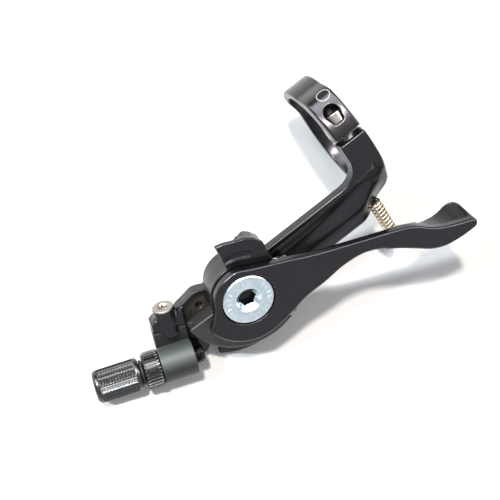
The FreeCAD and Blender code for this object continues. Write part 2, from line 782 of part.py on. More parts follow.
def coil(name, radius, turns, height, wire, x, y, z):
    """A coil spring on an upright axis."""
    helix = DOC.addObject("Part::Helix", name + "_path")
    bind(helix, "Radius", radius)
    bind(helix, "Height", height)
    bind(helix, "Pitch", "( %s ) / ( %s )" % (height, turns))
    helix.Style = 1
    section = DOC.addObject("Part::Circle", name + "_section")
    bind(section, "Radius", wire)
    bind(section, "Placement.Base.x", radius)
    section.Placement.Rotation = FreeCAD.Rotation(V(1, 0, 0), 90)
    sweep = DOC.addObject("Part::Sweep", name)
    sweep.Sections = [section]
    sweep.Spine = (helix, ["Edge1"])
    sweep.Solid = True
    sweep.Frenet = True
    return at(sweep, x, y, z)


def springs():
    node("detent_spring", coil("detent_coil", "ball_radius - detent_coil_play", "detent_turns",
                               "drum_top - ball_height - ball_radius - 1.3", "detent_wire",
                               *hub_point("track_radius", "ball_angle"),
                               "ball_height + ball_radius + coil_clearance"))
    node("return_spring", coil("return_coil", "( spring_pocket_inner + spring_pocket_outer ) / 2",
                               "return_turns", "spring_pocket_top - drum_bottom - 2 * return_coil_play",
                               "return_wire", "pivot_x", "pivot_y", "drum_bottom + return_coil_play"))
    node("pawl_spring", coil("pawl_coil", "pawl_pin_radius + pawl_coil_play", "pawl_turns",
                             "pawl_coil_height", "pawl_wire",
                             *hub_point("pawl_circle", "pawl_angle"), "pawl_top + pawl_coil_lift"))
    node("trigger_spring", coil("trigger_coil", "trigger_coil_radius", "trigger_turns",
                                "trigger_coil_height", "trigger_wire",
                                *hub_point("pawl_circle + trigger_coil_offset",
                                           "nub_end - trigger_coil_angle"),
                                "trigger_bottom - trigger_coil_height - 2 * trigger_wire"))


# --- release trigger and pawl -------------------------------------------------------------------

def release_trigger():
    ring = hub_disc("trigger_ring", "trigger_ring_outer", "trigger_bottom", "nub_top")
    plate = hub_sector("trigger_plate", "nub_radius", "trigger_bottom",
                       "nub_top - trigger_bottom", "nub_start", "nub_end - nub_start")
    wall = cut("trigger_wall",
               hub_sector("wall_outer", "nub_radius", "nub_bottom", "nub_top - nub_bottom",
                          "nub_start", "wall_end - nub_start"),
               hub_disc("wall_inner", "nub_radius - nub_wall", "nub_bottom - 1", "nub_top + 1"))
    skirt = cut("trigger_skirt",
                hub_sector("skirt_outer", "trigger_ring_outer", "skirt_bottom",
                           "nub_top - skirt_bottom", "skirt_start", "skirt_end - skirt_start"),
                hub_disc("skirt_inner", "skirt_inner_radius", "base_bottom", "trigger_bottom"))
    bore = hub_disc("trigger_bore", "drum_boss_radius + running_gap", "skirt_bottom - 1",
                    "nub_top + 1")
    node("release_trigger",
         cut("trigger_cut", fuse("trigger_solid", [ring, plate, wall, skirt]), bore))


def release_pawl():
    height = "pawl_top - drum_bottom"
    eye = cylinder("pawl_eye", "pawl_eye_radius", height,
                   *hub_point("pawl_circle", "pawl_angle"), "drum_bottom")
    tooth = box("pawl_tooth", "pawl_tooth_length", "pawl_tooth_width", height,
                *hub_point("pawl_circle + pawl_tooth_offset", "pawl_angle"), "drum_bottom",
                axis=(0, 0, 1), degrees=size("pawl_angle") + size("pawl_tooth_turn"))
    hole = cylinder("pawl_hole", "pawl_pin_radius + running_gap", "8",
                    *hub_point("pawl_circle", "pawl_angle"), "base_top - 1")
    node("release_pawl", cut("pawl_cut", fuse("pawl_solid", [eye, tooth]), hole))
    node("pawl_pin", cylinder("pawl_pin_round", "pawl_pin_radius", "pawl_top - base_bottom + 1.8",
                              *hub_point("pawl_circle", "pawl_angle"), "base_bottom"))


# --- cable stop -----------------------------------------------------------------------------------

def stop_housing():
    round_part = towards_cable("stop_round", "stop_radius", "- stop_length / 2", "stop_length")
    tab = lever_frame(polygon_pad("stop_tab", [
        ("stop_position - tab_half_width", "seam_side - running_gap"),
        ("stop_position + tab_half_width", "seam_side - running_gap"),
        ("stop_position + tab_half_width", "cable_side"),
        ("stop_position - tab_half_width", "cable_side"),
    ], "tab_bottom", "tab_top - tab_bottom"))
    thread = towards_cable("stop_thread", "barrel_thread_radius + running_gap", "- stop_length",
                           "2 * stop_length")
    screw = along_stop_screw("stop_screw_hole", "stop_screw_radius",
                             "stop_screw_start - seam_side - 1", "5")
    node("stop_housing", cut_all("stop_cut", fuse("stop_solid", [round_part, tab]), [thread, screw]))


def stop_screw():
    head = along_stop_screw("stop_head", "stop_head_radius", "- stop_head_height", "stop_head_height")
    shank = along_stop_screw("stop_shank", "stop_screw_radius", "- 0.1",
                             "stop_screw_start - seam_side + 3")
    socket = along_stop_screw("stop_socket", "stop_screw_radius * 0.85", "- stop_head_height - 0.5",
                              "stop_head_height + 0.2")
    node("stop_screw", cut("stop_screw_cut", fuse("stop_screw_solid", [head, shank]), socket))


def barrel():
    ring_start = "stop_length / 2 + 0.1"
    barrel_start = ring_start + " + lock_ring_width + 1.0"
    thread = towards_cable("barrel_thread", "barrel_thread_radius",
                           "- stop_length / 2 - thread_stub",
                           "stop_length + thread_stub + lock_ring_width + 3")
    grip = towards_cable("barrel_grip", "barrel_radius", barrel_start, "barrel_length")
    cable = towards_cable("barrel_cable_hole", "cable_hole_radius", "- stop_length",
                          "4 * stop_length")
    ferrule = towards_cable("barrel_ferrule_hole", "housing_hole_radius", barrel_start + " + 4",
                            "barrel_length")
    node("barrel_adjuster", cut_all("barrel_cut", fuse("barrel_solid", [thread, grip]),
                                    [cable, ferrule]))
    ring = cut("lock_ring_cut",
               towards_cable("lock_ring_round", "lock_ring_radius", ring_start, "lock_ring_width"),
               towards_cable("lock_ring_hole", "barrel_thread_radius + running_gap",
                             "0", "2 * stop_length"))
    node("lock_ring", ring)
    seal = cut("seal_cut",
               towards_cable("seal_round", "barrel_thread_radius + 0.75",
                             ring_start + " + lock_ring_width + 0.1", "0.8"),
               towards_cable("seal_hole", "barrel_thread_radius", "0", "2 * stop_length"))
    node("barrel_seal", seal)


# --- buffer spring behind the arm -------------------------------------------------------------------

def behind_arm(name, radius, start, end):
    """A cylinder whose axis runs along +Y, on the line of the buffer spring."""
    return cylinder(name, radius, "( %s ) - ( %s )" % (end, start), "support_x", start,
                    "support_height", axis=(1, 0, 0), degrees=-90)


def support():
    inner = "support_seat + support_wire_radius + running_gap"
    outer = "support_end - support_cap - support_wire_radius - running_gap"
    spring = coil("support_coil", "support_spring_radius", "support_turns",
                  "( %s ) - ( %s )" % (outer, inner), "support_wire_radius",
                  "support_x", inner, "support_height")
    node("support_spring", turn(spring, (1, 0, 0), -90))
    node("spring_post", behind_arm("support_post", "support_post_radius",
                                   "support_seat - support_post_depth", "support_end - support_cap"))
    node("spring_glide", behind_arm("support_glide", "support_spring_radius + support_wire_radius",
                                    "support_end - support_cap", "support_end"))


BUILDERS = [arm_body, clamp_bolt, pivot_post, pivot_bolt, pivot_rings, main_lever, cable_drum,
            index_cam, index_ball, springs, release_trigger, release_pawl, stop_housing,
            stop_screw, barrel, support]


def check_and_write():
    """Stop if anything failed to build, then write one STEP file per sub-part."""
    DOC.recompute()
    for obj in DOC.Objects:
        if "Invalid" in obj.State or "Error" in obj.State:
            raise RuntimeError("%s did not build: %s" % (obj.Name, obj.State))
    os.makedirs("parts", exist_ok=True)
    for name, obj in PARTS.items():
        if obj.Shape.isNull() or not obj.Shape.isValid() or not obj.Shape.Solids:
            raise RuntimeError("%s has no valid solid" % name)
        obj.Shape.exportStep(os.path.join("parts", name + ".step"))


for build in BUILDERS:
    build()
check_and_write()
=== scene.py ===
import json
import math

import bpy
import numpy as np
from mathutils import Matrix, Vector

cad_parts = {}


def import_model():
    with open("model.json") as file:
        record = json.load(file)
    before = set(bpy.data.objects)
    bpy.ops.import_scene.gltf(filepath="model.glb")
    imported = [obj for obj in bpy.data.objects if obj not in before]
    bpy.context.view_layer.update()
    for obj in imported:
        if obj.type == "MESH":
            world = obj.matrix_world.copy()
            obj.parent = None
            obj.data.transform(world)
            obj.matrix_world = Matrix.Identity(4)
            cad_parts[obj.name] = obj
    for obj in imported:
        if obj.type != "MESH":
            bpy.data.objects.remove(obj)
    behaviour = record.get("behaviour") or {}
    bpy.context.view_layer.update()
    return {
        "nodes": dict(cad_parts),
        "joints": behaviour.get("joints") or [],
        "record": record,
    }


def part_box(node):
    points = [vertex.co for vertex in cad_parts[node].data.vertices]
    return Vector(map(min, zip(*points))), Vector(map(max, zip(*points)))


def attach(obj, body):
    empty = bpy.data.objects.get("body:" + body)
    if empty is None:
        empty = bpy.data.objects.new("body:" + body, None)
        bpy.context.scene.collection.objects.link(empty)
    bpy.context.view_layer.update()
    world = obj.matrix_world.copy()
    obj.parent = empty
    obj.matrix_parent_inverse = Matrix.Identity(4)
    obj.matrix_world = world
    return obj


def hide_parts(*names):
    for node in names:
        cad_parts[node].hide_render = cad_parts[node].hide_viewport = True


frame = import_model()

MM = 0.001

# ---- places taken from the frame
JOINTS = {joint["name"]: joint for joint in frame["joints"]}
MOUNTS = {mount["name"]: mount for mount in frame["record"]["mounts"]}


def box_mm(node):
    """Lowest and highest corner of a CAD node in millimetres."""
    low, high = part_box(node)
    return np.array(low) / MM, np.array(high) / MM


PIVOT_X, PIVOT_Y = (value / MM for value in JOINTS["lever_swing"]["pos_m"][:2])
CAP_TOP = box_mm("pivot_bolt")[1][2]
LEVER_LOW = box_mm("lever_bush")[0][2]
BAR_RADIUS = MOUNTS["handlebar_clamp"]["dims"]["r_mm"]
BAND_HALF_WIDTH = MOUNTS["handlebar_clamp"]["dims"]["length_mm"] / 2
CABLE_POINT = np.array(JOINTS["barrel_turn"]["pos_m"]) / MM
CABLE_AXIS = Vector(JOINTS["barrel_turn"]["axis"])
LEVER_ANGLE = math.degrees(math.atan2(-CABLE_AXIS.y, -CABLE_AXIS.x))

WORLD = Matrix.Identity(4)
HUB = Matrix.Translation((PIVOT_X, PIVOT_Y, 0))
LEVER = HUB @ Matrix.Rotation(math.radians(LEVER_ANGLE), 4, "Z")
SIDE = LEVER.to_3x3() @ Vector((0, 1, 0))


def frame_along(origin, axis, across):
    """A frame whose z runs along axis and whose x is the part of across square to it."""
    z = Vector(axis).normalized()
    x = Vector(across)
    x = (x - z * x.dot(z)).normalized()
    rotation = Matrix((x, z.cross(x), z)).transposed().to_4x4()
    return Matrix.Translation(Vector(origin)) @ rotation


CABLE = frame_along(CABLE_POINT, CABLE_AXIS, SIDE)


# ---- solid shapes as distance fields
class Grid:
    """Sample points of a box, in millimetres, in a frame of its own."""

    def __init__(self, low, high, step, place=WORLD):
        self.low = np.array(low, float) - 2 * step
        self.step = step
        self.place = place
        counts = np.ceil((np.array(high, float) + 2 * step - self.low) / step).astype(int) + 1
        lines = [(self.low[k] + step * np.arange(counts[k])).astype(np.float32) for k in range(3)]
        self.x = lines[0][:, None, None]
        self.y = lines[1][None, :, None]
        self.z = lines[2][None, None, :]
        self.shape = tuple(counts)


def both(a, b, r=0.0):
    """Where two shapes overlap, with the new edge rounded to r."""
    if np.isscalar(r) and r == 0.0:
        return np.maximum(a, b)
    u, v = np.maximum(a + r, 0), np.maximum(b + r, 0)
    return np.minimum(-r, np.maximum(a, b)) + np.sqrt(u * u + v * v)


def either(a, b, r=0.0):
    """Two shapes joined, with a fillet of r between them."""
    if np.isscalar(r) and r == 0.0:
        return np.minimum(a, b)
    u, v = np.maximum(r - a, 0), np.maximum(r - b, 0)
    return np.maximum(r, np.minimum(a, b)) - np.sqrt(u * u + v * v)


def without(a, b, r=0.0):
    return both(a, -b, r)


def between_values(low, value, high):
    return np.maximum(low - value, value - high)


def slab(g, low, high):
    return between_values(low, g.z, high)


def disc(x, y, r, cx=0.0, cy=0.0):
    return np.hypot(x - cx, y - cy) - r


def smooth(value, low, high):
    """0 below low, 1 above high, and a smooth step between them."""
    t = np.clip((value - low) / (high - low), 0, 1)
    return t * t * (3 - 2 * t)


def wedge(x, y, start, end):
    """The plane's sector from angle start to angle end, in degrees, less than half a turn."""
    a, b = math.radians(start), math.radians(end)
    return np.maximum(x * math.sin(a) - y * math.cos(a), y * math.cos(b) - x * math.sin(b))


def polygon(x, y, corners):
    """Signed distance in a plane to a closed outline."""
    best = np.full(np.broadcast(x, y).shape, 1e9, np.float32)
    flips = np.zeros(best.shape, bool)
    for (ax, ay), (bx, by) in zip(corners, np.roll(corners, -1, axis=0)):
        ex, ey = bx - ax, by - ay
        wx, wy = x - ax, y - ay
        t = np.clip((wx * ex + wy * ey) / (ex * ex + ey * ey), 0, 1)
        best = np.minimum(best, (wx - ex * t) ** 2 + (wy - ey * t) ** 2)
        upward, downward = (y >= ay) & (y < by), (y < ay) & (y >= by)
        left = ex * wy > ey * wx
        flips ^= (upward & left) | (downward & ~left)
    return np.where(flips, -1, 1) * np.sqrt(best)


def spline(a, b, c, d, steps):
    """Points on the smooth line from each b to its c, with a and d as neighbours."""
    rows = [0.5 * (2 * b + (c - a) * t + (2 * a - 5 * b + 4 * c - d) * t ** 2
        + (3 * b - a - 3 * c + d) * t ** 3) for t in np.arange(steps) / steps]
    return np.stack(rows, 1).reshape(-1, b.shape[1])


def curve(points, steps):
    """A closed smooth outline through a few points."""
    p = np.array(points, float)
    return spline(np.roll(p, 1, 0), p, np.roll(p, -1, 0), np.roll(p, -2, 0), steps)


def smooth_line(points, steps=8):
    """An open smooth line through a few points in space."""
    p = np.array([points[0]] + points + [points[-1]])
    return np.append(spline(p[:-3], p[1:-2], p[2:-1], p[3:], steps), p[-1:], 0)


def arc(r, start, end, count=8, cx=0.0, cy=0.0):
    angles = np.radians(np.linspace(start, end, count))
    return [(cx + r * math.cos(a), cy + r * math.sin(a)) for a in angles]


def path_distance(x, y, points):
    """Distance in a plane to an open line of points."""
    best = np.full(np.broadcast(x, y).shape, 1e9, np.float32)
    for (ax, ay), (bx, by) in zip(points[:-1], points[1:]):
        ex, ey = bx - ax, by - ay
        t = np.clip(((x - ax) * ex + (y - ay) * ey) / (ex * ex + ey * ey), 0, 1)
        best = np.minimum(best, (x - ax - ex * t) ** 2 + (y - ay - ey * t) ** 2)
    return np.sqrt(best)


def sample(field, spots):
    """The field's value between its samples."""
    base = np.clip(np.floor(spots).astype(int), 0, np.array(field.shape) - 2)
    f = spots - base
    total = 0
    for corner in np.ndindex(2, 2, 2):
        weight = np.prod(np.where(np.array(corner), f, 1 - f), axis=1)
        total = total + weight * field[tuple((base + corner).T)]
    return total


def slope(field, spots):
    h = 0.5
    return np.stack([(sample(field, spots + h * e) - sample(field, spots - h * e)) / (2 * h)
        for e in np.eye(3)], 1)


def skin(field):
    """The zero surface of a field as quads, by surface nets, then pulled onto the surface."""
    inside = field < 0
    cells = np.zeros(np.array(field.shape) - 1, np.uint8)
    for dx, dy, dz in np.ndindex(2, 2, 2):
        cells += inside[dx:dx + cells.shape[0], dy:dy + cells.shape[1], dz:dz + cells.shape[2]]
    active = (cells > 0) & (cells < 8)
    spots = np.argwhere(active)
    number = np.full(cells.shape, -1, np.int32)
    number[active] = np.arange(len(spots))
    total, hits = np.zeros((len(spots), 3)), np.zeros(len(spots))
    for axis in range(3):
        for first in np.ndindex(2, 2, 2):
            if first[axis]:
                continue
            step = np.eye(3, dtype=int)[axis]
            a = field[tuple((spots + first).T)]
            b = field[tuple((spots + first + step).T)]
            crossed = (a < 0) != (b < 0)
            t = np.where(crossed, a / np.where(crossed, a - b, 1), 0)
            total += crossed[:, None] * (np.array(first) + t[:, None] * step)
            hits += crossed
    points = spots + total / hits[:, None]
    for _ in range(3):
        gradient = slope(field, points)
        move = sample(field, points)[:, None] * gradient
        move /= np.maximum((gradient ** 2).sum(1), 0.05)[:, None]
        points -= np.clip(move, -0.3, 0.3)
    quads = []
    for axis in range(3):
        i, j = (axis + 1) % 3, (axis + 2) % 3
        step, ei, ej = np.eye(3, dtype=int)[[axis, i, j]]
        ahead = tuple(slice(1, None) if k == axis else slice(None) for k in range(3))
        behind = tuple(slice(None, -1) if k == axis else slice(None) for k in range(3))
        p = np.argwhere(inside[behind] != inside[ahead])
        limit = np.array(cells.shape)
        p = p[(p[:, i] > 0) & (p[:, j] > 0) & (p[:, i] < limit[i]) & (p[:, j] < limit[j])]
        q = np.stack([number[tuple((p - d).T)] for d in (ei + ej, ej, 0 * ei, ei)], 1)
        turned = ~inside[tuple(p.T)]
        q[turned] = q[turned][:, ::-1]
        quads.append(q)
    return points, np.concatenate(quads), slope(field, points)


def add_piece(name, points, faces, place, body, look, replaces=None, normals=None):
    """Make a mesh from points in a frame, in millimetres, and let it ride on a CAD body."""
    matrix = np.array(place)
    world = (points @ matrix[:3, :3].T + matrix[:3, 3]) * MM
    mesh = bpy.data.meshes.new(name)
    mesh.vertices.add(len(world))
    mesh.vertices.foreach_set("co", world.astype(np.float32).ravel())
    sizes = np.array([len(face) for face in faces])
    mesh.loops.add(int(sizes.sum()))
    mesh.loops.foreach_set("vertex_index", np.concatenate(faces))
    mesh.polygons.add(len(faces))
    mesh.polygons.foreach_set("loop_start", np.concatenate([[0], np.cumsum(sizes)[:-1]]))
    mesh.polygons.foreach_set("use_smooth", np.ones(len(faces), bool))
    mesh.update(calc_edges=True)
    mesh.validate()
    if normals is not None:
        turned = normals @ matrix[:3, :3].T
        turned /= np.maximum(np.linalg.norm(turned, axis=1), 1e-9)[:, None]
        mesh.normals_split_custom_set_from_vertices(turned.tolist())
    piece = bpy.data.objects.new(name, mesh)
    bpy.context.scene.collection.objects.link(piece)
    mesh.materials.append(MATERIALS[look])
    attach(piece, body)
    if replaces:
        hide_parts(replaces)
    return piece


def solid(name, grid, field, body, look, replaces):
    """A piece from a distance field."""
    field = np.ascontiguousarray(np.broadcast_to(field, grid.shape), dtype=np.float32)
    points, quads, normals = skin(field)
    add_piece(name, points * grid.step + grid.low, quads, grid.place, body, look, replaces, normals)


# ---- turned shapes
def lathe(name, rows, count, place, body, look, replaces, pattern=None):
    """Turn a closed profile of (radius, height, pattern depth) about the frame's z."""
    rows = np.array([tuple(row) + (0.0,) * (3 - len(row)) for row in rows], float)
    angles = np.linspace(0, 2 * math.pi, count, endpoint=False)
    radius = np.repeat(rows[:, 0:1], count, 1)
    height = np.repeat(rows[:, 1:2], count, 1)
    if pattern is not None:
        radius = radius + rows[:, 2:3] * pattern(angles[None, :], height)
    points = np.stack([radius * np.cos(angles), radius * np.sin(angles), height], 2).reshape(-1, 3)
    a = np.arange(len(rows))[:, None] * count
    b = np.roll(np.arange(len(rows)), -1)[:, None] * count
    here, there = np.arange(count)[None, :], np.roll(np.arange(count), -1)[None, :]
    quads = np.stack([a + here, a + there, b + there, b + here], 2).reshape(-1, 4)
    piece = add_piece(name, points, quads, place, body, look, replaces)
    piece.data.set_sharp_from_angle(angle=math.radians(38))


def rounded(profile, r, steps=4):
    """The closed profile with each corner replaced by a small arc."""
    p = np.array(profile, float)
    out = []
    for k in range(len(p)):
        here, before, after = p[k][:2], p[k - 1][:2], p[(k + 1) % len(p)][:2]
        a, b = before - here, after - here
        reach = min(r, 0.45 * np.linalg.norm(a), 0.45 * np.linalg.norm(b))
        a, b = a / np.linalg.norm(a) * reach, b / np.linalg.norm(b) * reach
        for t in np.linspace(0, 1, steps):
            spot = here + a * (1 - t) ** 2 + b * t ** 2
            out.append((spot[0], spot[1]))
    return out


def spaced(r, start, end, gap, depth):
    """Rows of a straight run of profile, close enough to carry a pattern."""
    count = max(2, int(round(abs(end - start) / gap)) + 1)
    return [(r, h, depth) for h in np.linspace(start, end, count)]


def wire(name, points, radius, place, body, look, replaces=None, sides=10):
    """A round wire along a line of points, closed at both ends."""
    p = np.array(points, float)
    tangent = np.gradient(p, axis=0)
    tangent /= np.linalg.norm(tangent, axis=1)[:, None]
    up = np.array([0.03, 0.02, 1.0]) if abs(tangent[0][2]) < 0.9 else np.array([1.0, 0.02, 0.03])
    first = np.cross(up, tangent)
    first /= np.linalg.norm(first, axis=1)[:, None]
    second = np.cross(tangent, first)
    angles = np.linspace(0, 2 * math.pi, sides, endpoint=False)
    ring = (first[:, None] * np.cos(angles)[None, :, None]
        + second[:, None] * np.sin(angles)[None, :, None]) * radius + p[:, None]
    vertices = ring.reshape(-1, 3)
    faces = []
    for k in range(len(p) - 1):
        for j in range(sides):
            a, b = k * sides + j, k * sides + (j + 1) % sides
            faces.append((a, b, b + sides, a + sides))
    faces.append(tuple(range(sides))[::-1])
    faces.append(tuple((len(p) - 1) * sides + j for j in range(sides)))
    piece = add_piece(name, vertices, faces, place, body, look, replaces)
    piece.data.set_sharp_from_angle(angle=math.radians(60))


# ---- materials
MATERIALS = {}


class Nodes:
    """A little help for writing node trees."""

    def __init__(self, tree):
        self.tree = tree

    def add(self, kind, **values):
        node = self.tree.nodes.new("ShaderNode" + kind)
        for key, value in values.items():
            if key in node.inputs:
                self.plug(value, node.inputs[key])
            else:
                setattr(node, key, value)
        return node

    def plug(self, value, target):
        if isinstance(value, bpy.types.NodeSocket):
            self.tree.links.new(value, target)
        else:
            target.default_value = value

    def level(self, fac, low, high, start=0.0, end=1.0, kind="LINEAR"):
        """From low to high while fac goes from start to end."""
        values = {"From Min": start, "From Max": end, "To Min": low, "To Max": high}
        return self.add("MapRange", interpolation_type=kind, Value=fac,
            **values).outputs["Result"]

    def maths(self, operation, a, b=0.0, kind="Math"):
        node = self.add(kind, operation=operation)
        self.plug(a, node.inputs[0])
        self.plug(b, node.inputs[1])
        return node.outputs["Value"]


class Look(Nodes):
    """A material's nodes, placed by the piece's own coordinates."""

    def __init__(self, name):
        self.name = name
        self.material = bpy.data.materials.new("look_" + name)
        self.material.use_nodes = True
        super().__init__(self.material.node_tree)
        self.shader = self.tree.nodes["Principled BSDF"]
        self.place = self.add("TexCoord").outputs["Object"]

    def noise(self, scale, detail=4.0, rough=0.55):
        """Noise from 0 to 1; scale is in bumps per millimetre."""
        return self.add("TexNoise", Vector=self.place, Scale=scale / MM, Detail=detail,
            Roughness=rough).outputs["Fac"]

    def ramp(self, fac, stops):
        node = self.add("ValToRGB", Fac=fac)
        ramp = node.color_ramp
        while len(ramp.elements) < len(stops):
            ramp.elements.new(0.5)
        for element, (at, colour) in zip(ramp.elements, stops):
            element.position = at
            element.color = colour if len(colour) == 4 else tuple(colour) + (1.0,)
        return node.outputs["Color"]

    def mix(self, fac, a, b):
        node = self.add("Mix", data_type="RGBA")
        self.plug(fac, node.inputs[0])
        self.plug(a, node.inputs[6])
        self.plug(b, node.inputs[7])
        return node.outputs[2]

    def bump(self, height, distance, strength=1.0, normal=None):
        node = self.add("Bump", Height=height, Strength=strength, Distance=distance * MM)
        if normal is not None:
            self.plug(normal, node.inputs["Normal"])
        return node.outputs["Normal"]

    def distance(self, spot):
        """Distance in metres from a spot given in millimetres."""
        return self.maths("DISTANCE", self.place, Vector(spot) * MM, "VectorMath")

    def along(self, place):
        """The x, y and z, in millimetres, in another frame, and the distance from its z axis."""
        inverse = (Matrix.Scale(MM, 4) @ place).inverted()
        split = self.add("Mapping", Vector=self.place)
        split.inputs["Location"].default_value = inverse.to_translation()
        split.inputs["Rotation"].default_value = inverse.to_euler()
        split.inputs["Scale"].default_value = (1 / MM,) * 3
        x, y, z = self.add("SeparateXYZ", Vector=split.outputs[0]).outputs
        squares = self.maths("ADD", self.maths("POWER", x, 2.0), self.maths("POWER", y, 2.0))
        return x, y, z, self.maths("SQRT", squares)

    def edges(self, low, high):
        """0 on flat surface, 1 on sharp convex edges."""
        point = self.add("NewGeometry").outputs["Pointiness"]
        return self.level(point, 0.0, 1.0, low, high)

    def finish(self, **values):
        for key, value in values.items():
            self.plug(value, self.shader.inputs[key.replace("_", " ")])
        MATERIALS[self.name] = self.material
        return self.material


def colour(level, warm=0.0):
    """A grey, with its red raised and its blue lowered by warm."""
    return (level * (1 + warm), level, level * (1 - warm), 1.0)


# A plain circle is painted on the clamp ring, and the floor of the bracket's recess is painted browner
# and lighter: a brown tone of its own, lifted as painted light where the recess lies in shade.
ELBOW_OUTER = 20.8
MARK_X, MARK_ANGLE = -1.2, math.radians(148.6)
MARK_PLACE = (MARK_X, ELBOW_OUTER * math.cos(MARK_ANGLE), ELBOW_OUTER * math.sin(MARK_ANGLE))
MARK_RADIUS, MARK_LINE = 1.75, 0.14
RECESS_LIGHT_PLACE, RECESS_LIGHT_TOP, RECESS_LIGHT_FADE = LEVER @ Vector((-10.8, -5.5, 19.0)), 19.7, (5.6, 6.6)


def coated(name, base, rough, grain, coat=0.0, edge=0.10):
    """Satin coating on cast metal: faint mottling, orange peel and a painted highlight along convex
    edges.
    """
    n = Look(name)
    mottle = n.noise(0.35, 5.0)
    tone = n.ramp(mottle, [(0.3, colour(base * 0.8, -0.04)), (0.75, colour(base * 1.25, 0.05))])
    specks = n.ramp(n.noise(6.0, 2.0), [(0.70, colour(0.0)), (0.82, colour(0.35))])
    tone = n.mix(n.maths("MULTIPLY", specks, 0.10), tone, colour(base * 5))
    # Painted highlight: sharp convex edges are lightened, broken up by noise, in place of light caught
    # on rounded edges.
    edge_highlight = n.maths("MULTIPLY", n.edges(0.53, 0.62), n.noise(1.2, 4.0))
    tone = n.mix(n.maths("MULTIPLY", edge_highlight, edge * 4), tone, colour(base + edge))
    height = n.add("SeparateXYZ", Vector=n.place).outputs[2]
    # Painted light: the recess floor by the bracket is lifted to a lighter brown against the shade it
    # gets between the drum and the bracket's walls.
    inner, outer = RECESS_LIGHT_FADE
    pocket = n.maths("MULTIPLY", n.level(n.distance(RECESS_LIGHT_PLACE), 1.0, 0.0, inner * MM, outer * MM),
        n.level(height, 1.0, 0.0, (RECESS_LIGHT_TOP - 0.2) * MM, RECESS_LIGHT_TOP * MM))
    tone = n.mix(pocket, tone, colour(0.035, 0.12))
    off_line = n.maths("ABSOLUTE", n.maths("SUBTRACT", n.distance(MARK_PLACE), MARK_RADIUS * MM))
    tone = n.mix(n.level(off_line, 1.0, 0.0, MARK_LINE * MM * 0.6, MARK_LINE * MM), tone, colour(0.45))
    peel = n.bump(n.noise(3.0, 2.0), 0.012, grain)
    peel = n.bump(n.noise(14.0, 2.0), 0.004, grain, peel)
    n.finish(Base_Color=tone, Roughness=n.level(n.noise(0.8, 5.0), rough - 0.05, rough + 0.07),
        Normal=peel, Specular_IOR_Level=0.5, Specular_Tint=(0.93, 0.89, 1.0, 1.0), Coat_Weight=coat,
        Coat_Roughness=0.12)


def turned_metal(name, base, rough, pitch, tint=(1.0, 1.0, 1.0), axis=None, painted_shade_below=None):
    """Bare or plated metal, with a lathe's fine rings about an axis, and painted shade below a height.
    """
    n = Look(name)
    cloud = n.noise(0.5, 5.0)
    dark = tuple(base * 0.82 * t for t in tint) + (1.0,)
    light = tuple(min(base * 1.08 * t, 1.0) for t in tint) + (1.0,)
    tone = n.ramp(cloud, [(0.3, dark), (0.7, light)])
    if painted_shade_below is not None:
        # Painted shade: near-black below the given height, for the deep hollow of the cap's socket.
        height = n.add("SeparateXYZ", Vector=n.place).outputs[2]
        shade = n.level(height, 1.0, 0.0, (painted_shade_below - 0.5) * MM, (painted_shade_below + 0.3) * MM)
        tone = n.mix(shade, tone, colour(0.03))
    normal = n.bump(n.noise(pitch, 3.0), 0.006, 0.5)
    if axis is not None:
        place, across = axis
        radius = n.along(place)[3]
        rings = n.add("TexNoise", noise_dimensions="1D", Scale=1.0, Detail=3.0,
            W=n.maths("MULTIPLY", radius, across)).outputs["Fac"]
        normal = n.bump(rings, 0.02, 0.5, normal)
    n.finish(Base_Color=tone, Metallic=1.0, Normal=normal,
        Roughness=n.level(n.noise(1.5, 4.0), rough - 0.05, rough + 0.08))


STOP_SKIN = (4.64, 4.70)
# Where the barrel's painted lit flank fades into painted shade, across the side direction.
STOP_SHADE_FADE = (0.6, 2.3)


def stop_anodising_and_shade():
    """Greenish-grey anodising on the barrel and black on the tab; the barrel's upper flank is painted
    in the lit greenish grey, and its underside is painted shade in near-black.
    """
    n = Look("stop_anodising_and_shade")
    side, _, length, radius = n.along(CABLE)
    on_barrel = n.level(radius, 1.0, 0.0, *STOP_SKIN)
    # Painted light and shade: the lit greenish grey fades to near-black across the barrel, away from
    # the tab.
    lit_flank = n.maths("MULTIPLY", on_barrel, n.level(side, 0.0, 1.0, *STOP_SHADE_FADE))
    cloud = n.level(n.noise(0.8, 5.0), 0.85, 1.15)
    lit = n.mix(cloud, (0.040, 0.048, 0.047, 1.0), (0.060, 0.071, 0.069, 1.0))
    tone = n.mix(lit_flank, (0.010, 0.010, 0.011, 1.0), lit)
    lines = n.add("TexNoise", noise_dimensions="1D", W=length, Scale=14.0, Detail=3.0)
    n.finish(Base_Color=tone, Metallic=n.level(lit_flank, 0.0, 0.3), Roughness=n.level(cloud, 0.42, 0.52),
        Normal=n.bump(lines.outputs["Fac"], 0.02, 0.35))


def plastic(name, base, rough):
    """Glass-filled moulded plastic: fine grain and slightly cloudy."""
    n = Look(name)
    tone = n.ramp(n.noise(1.1, 5.0), [(0.3, colour(base * 0.8)), (0.75, colour(base * 1.25))])
    n.finish(Base_Color=tone, Roughness=n.level(n.noise(2.5, 4.0), rough - 0.06, rough + 0.08),
        Normal=n.bump(n.noise(9.0, 3.0), 0.015, 0.6))


coated("black_coat", 0.004, 0.24, 0.45)
stop_anodising_and_shade()
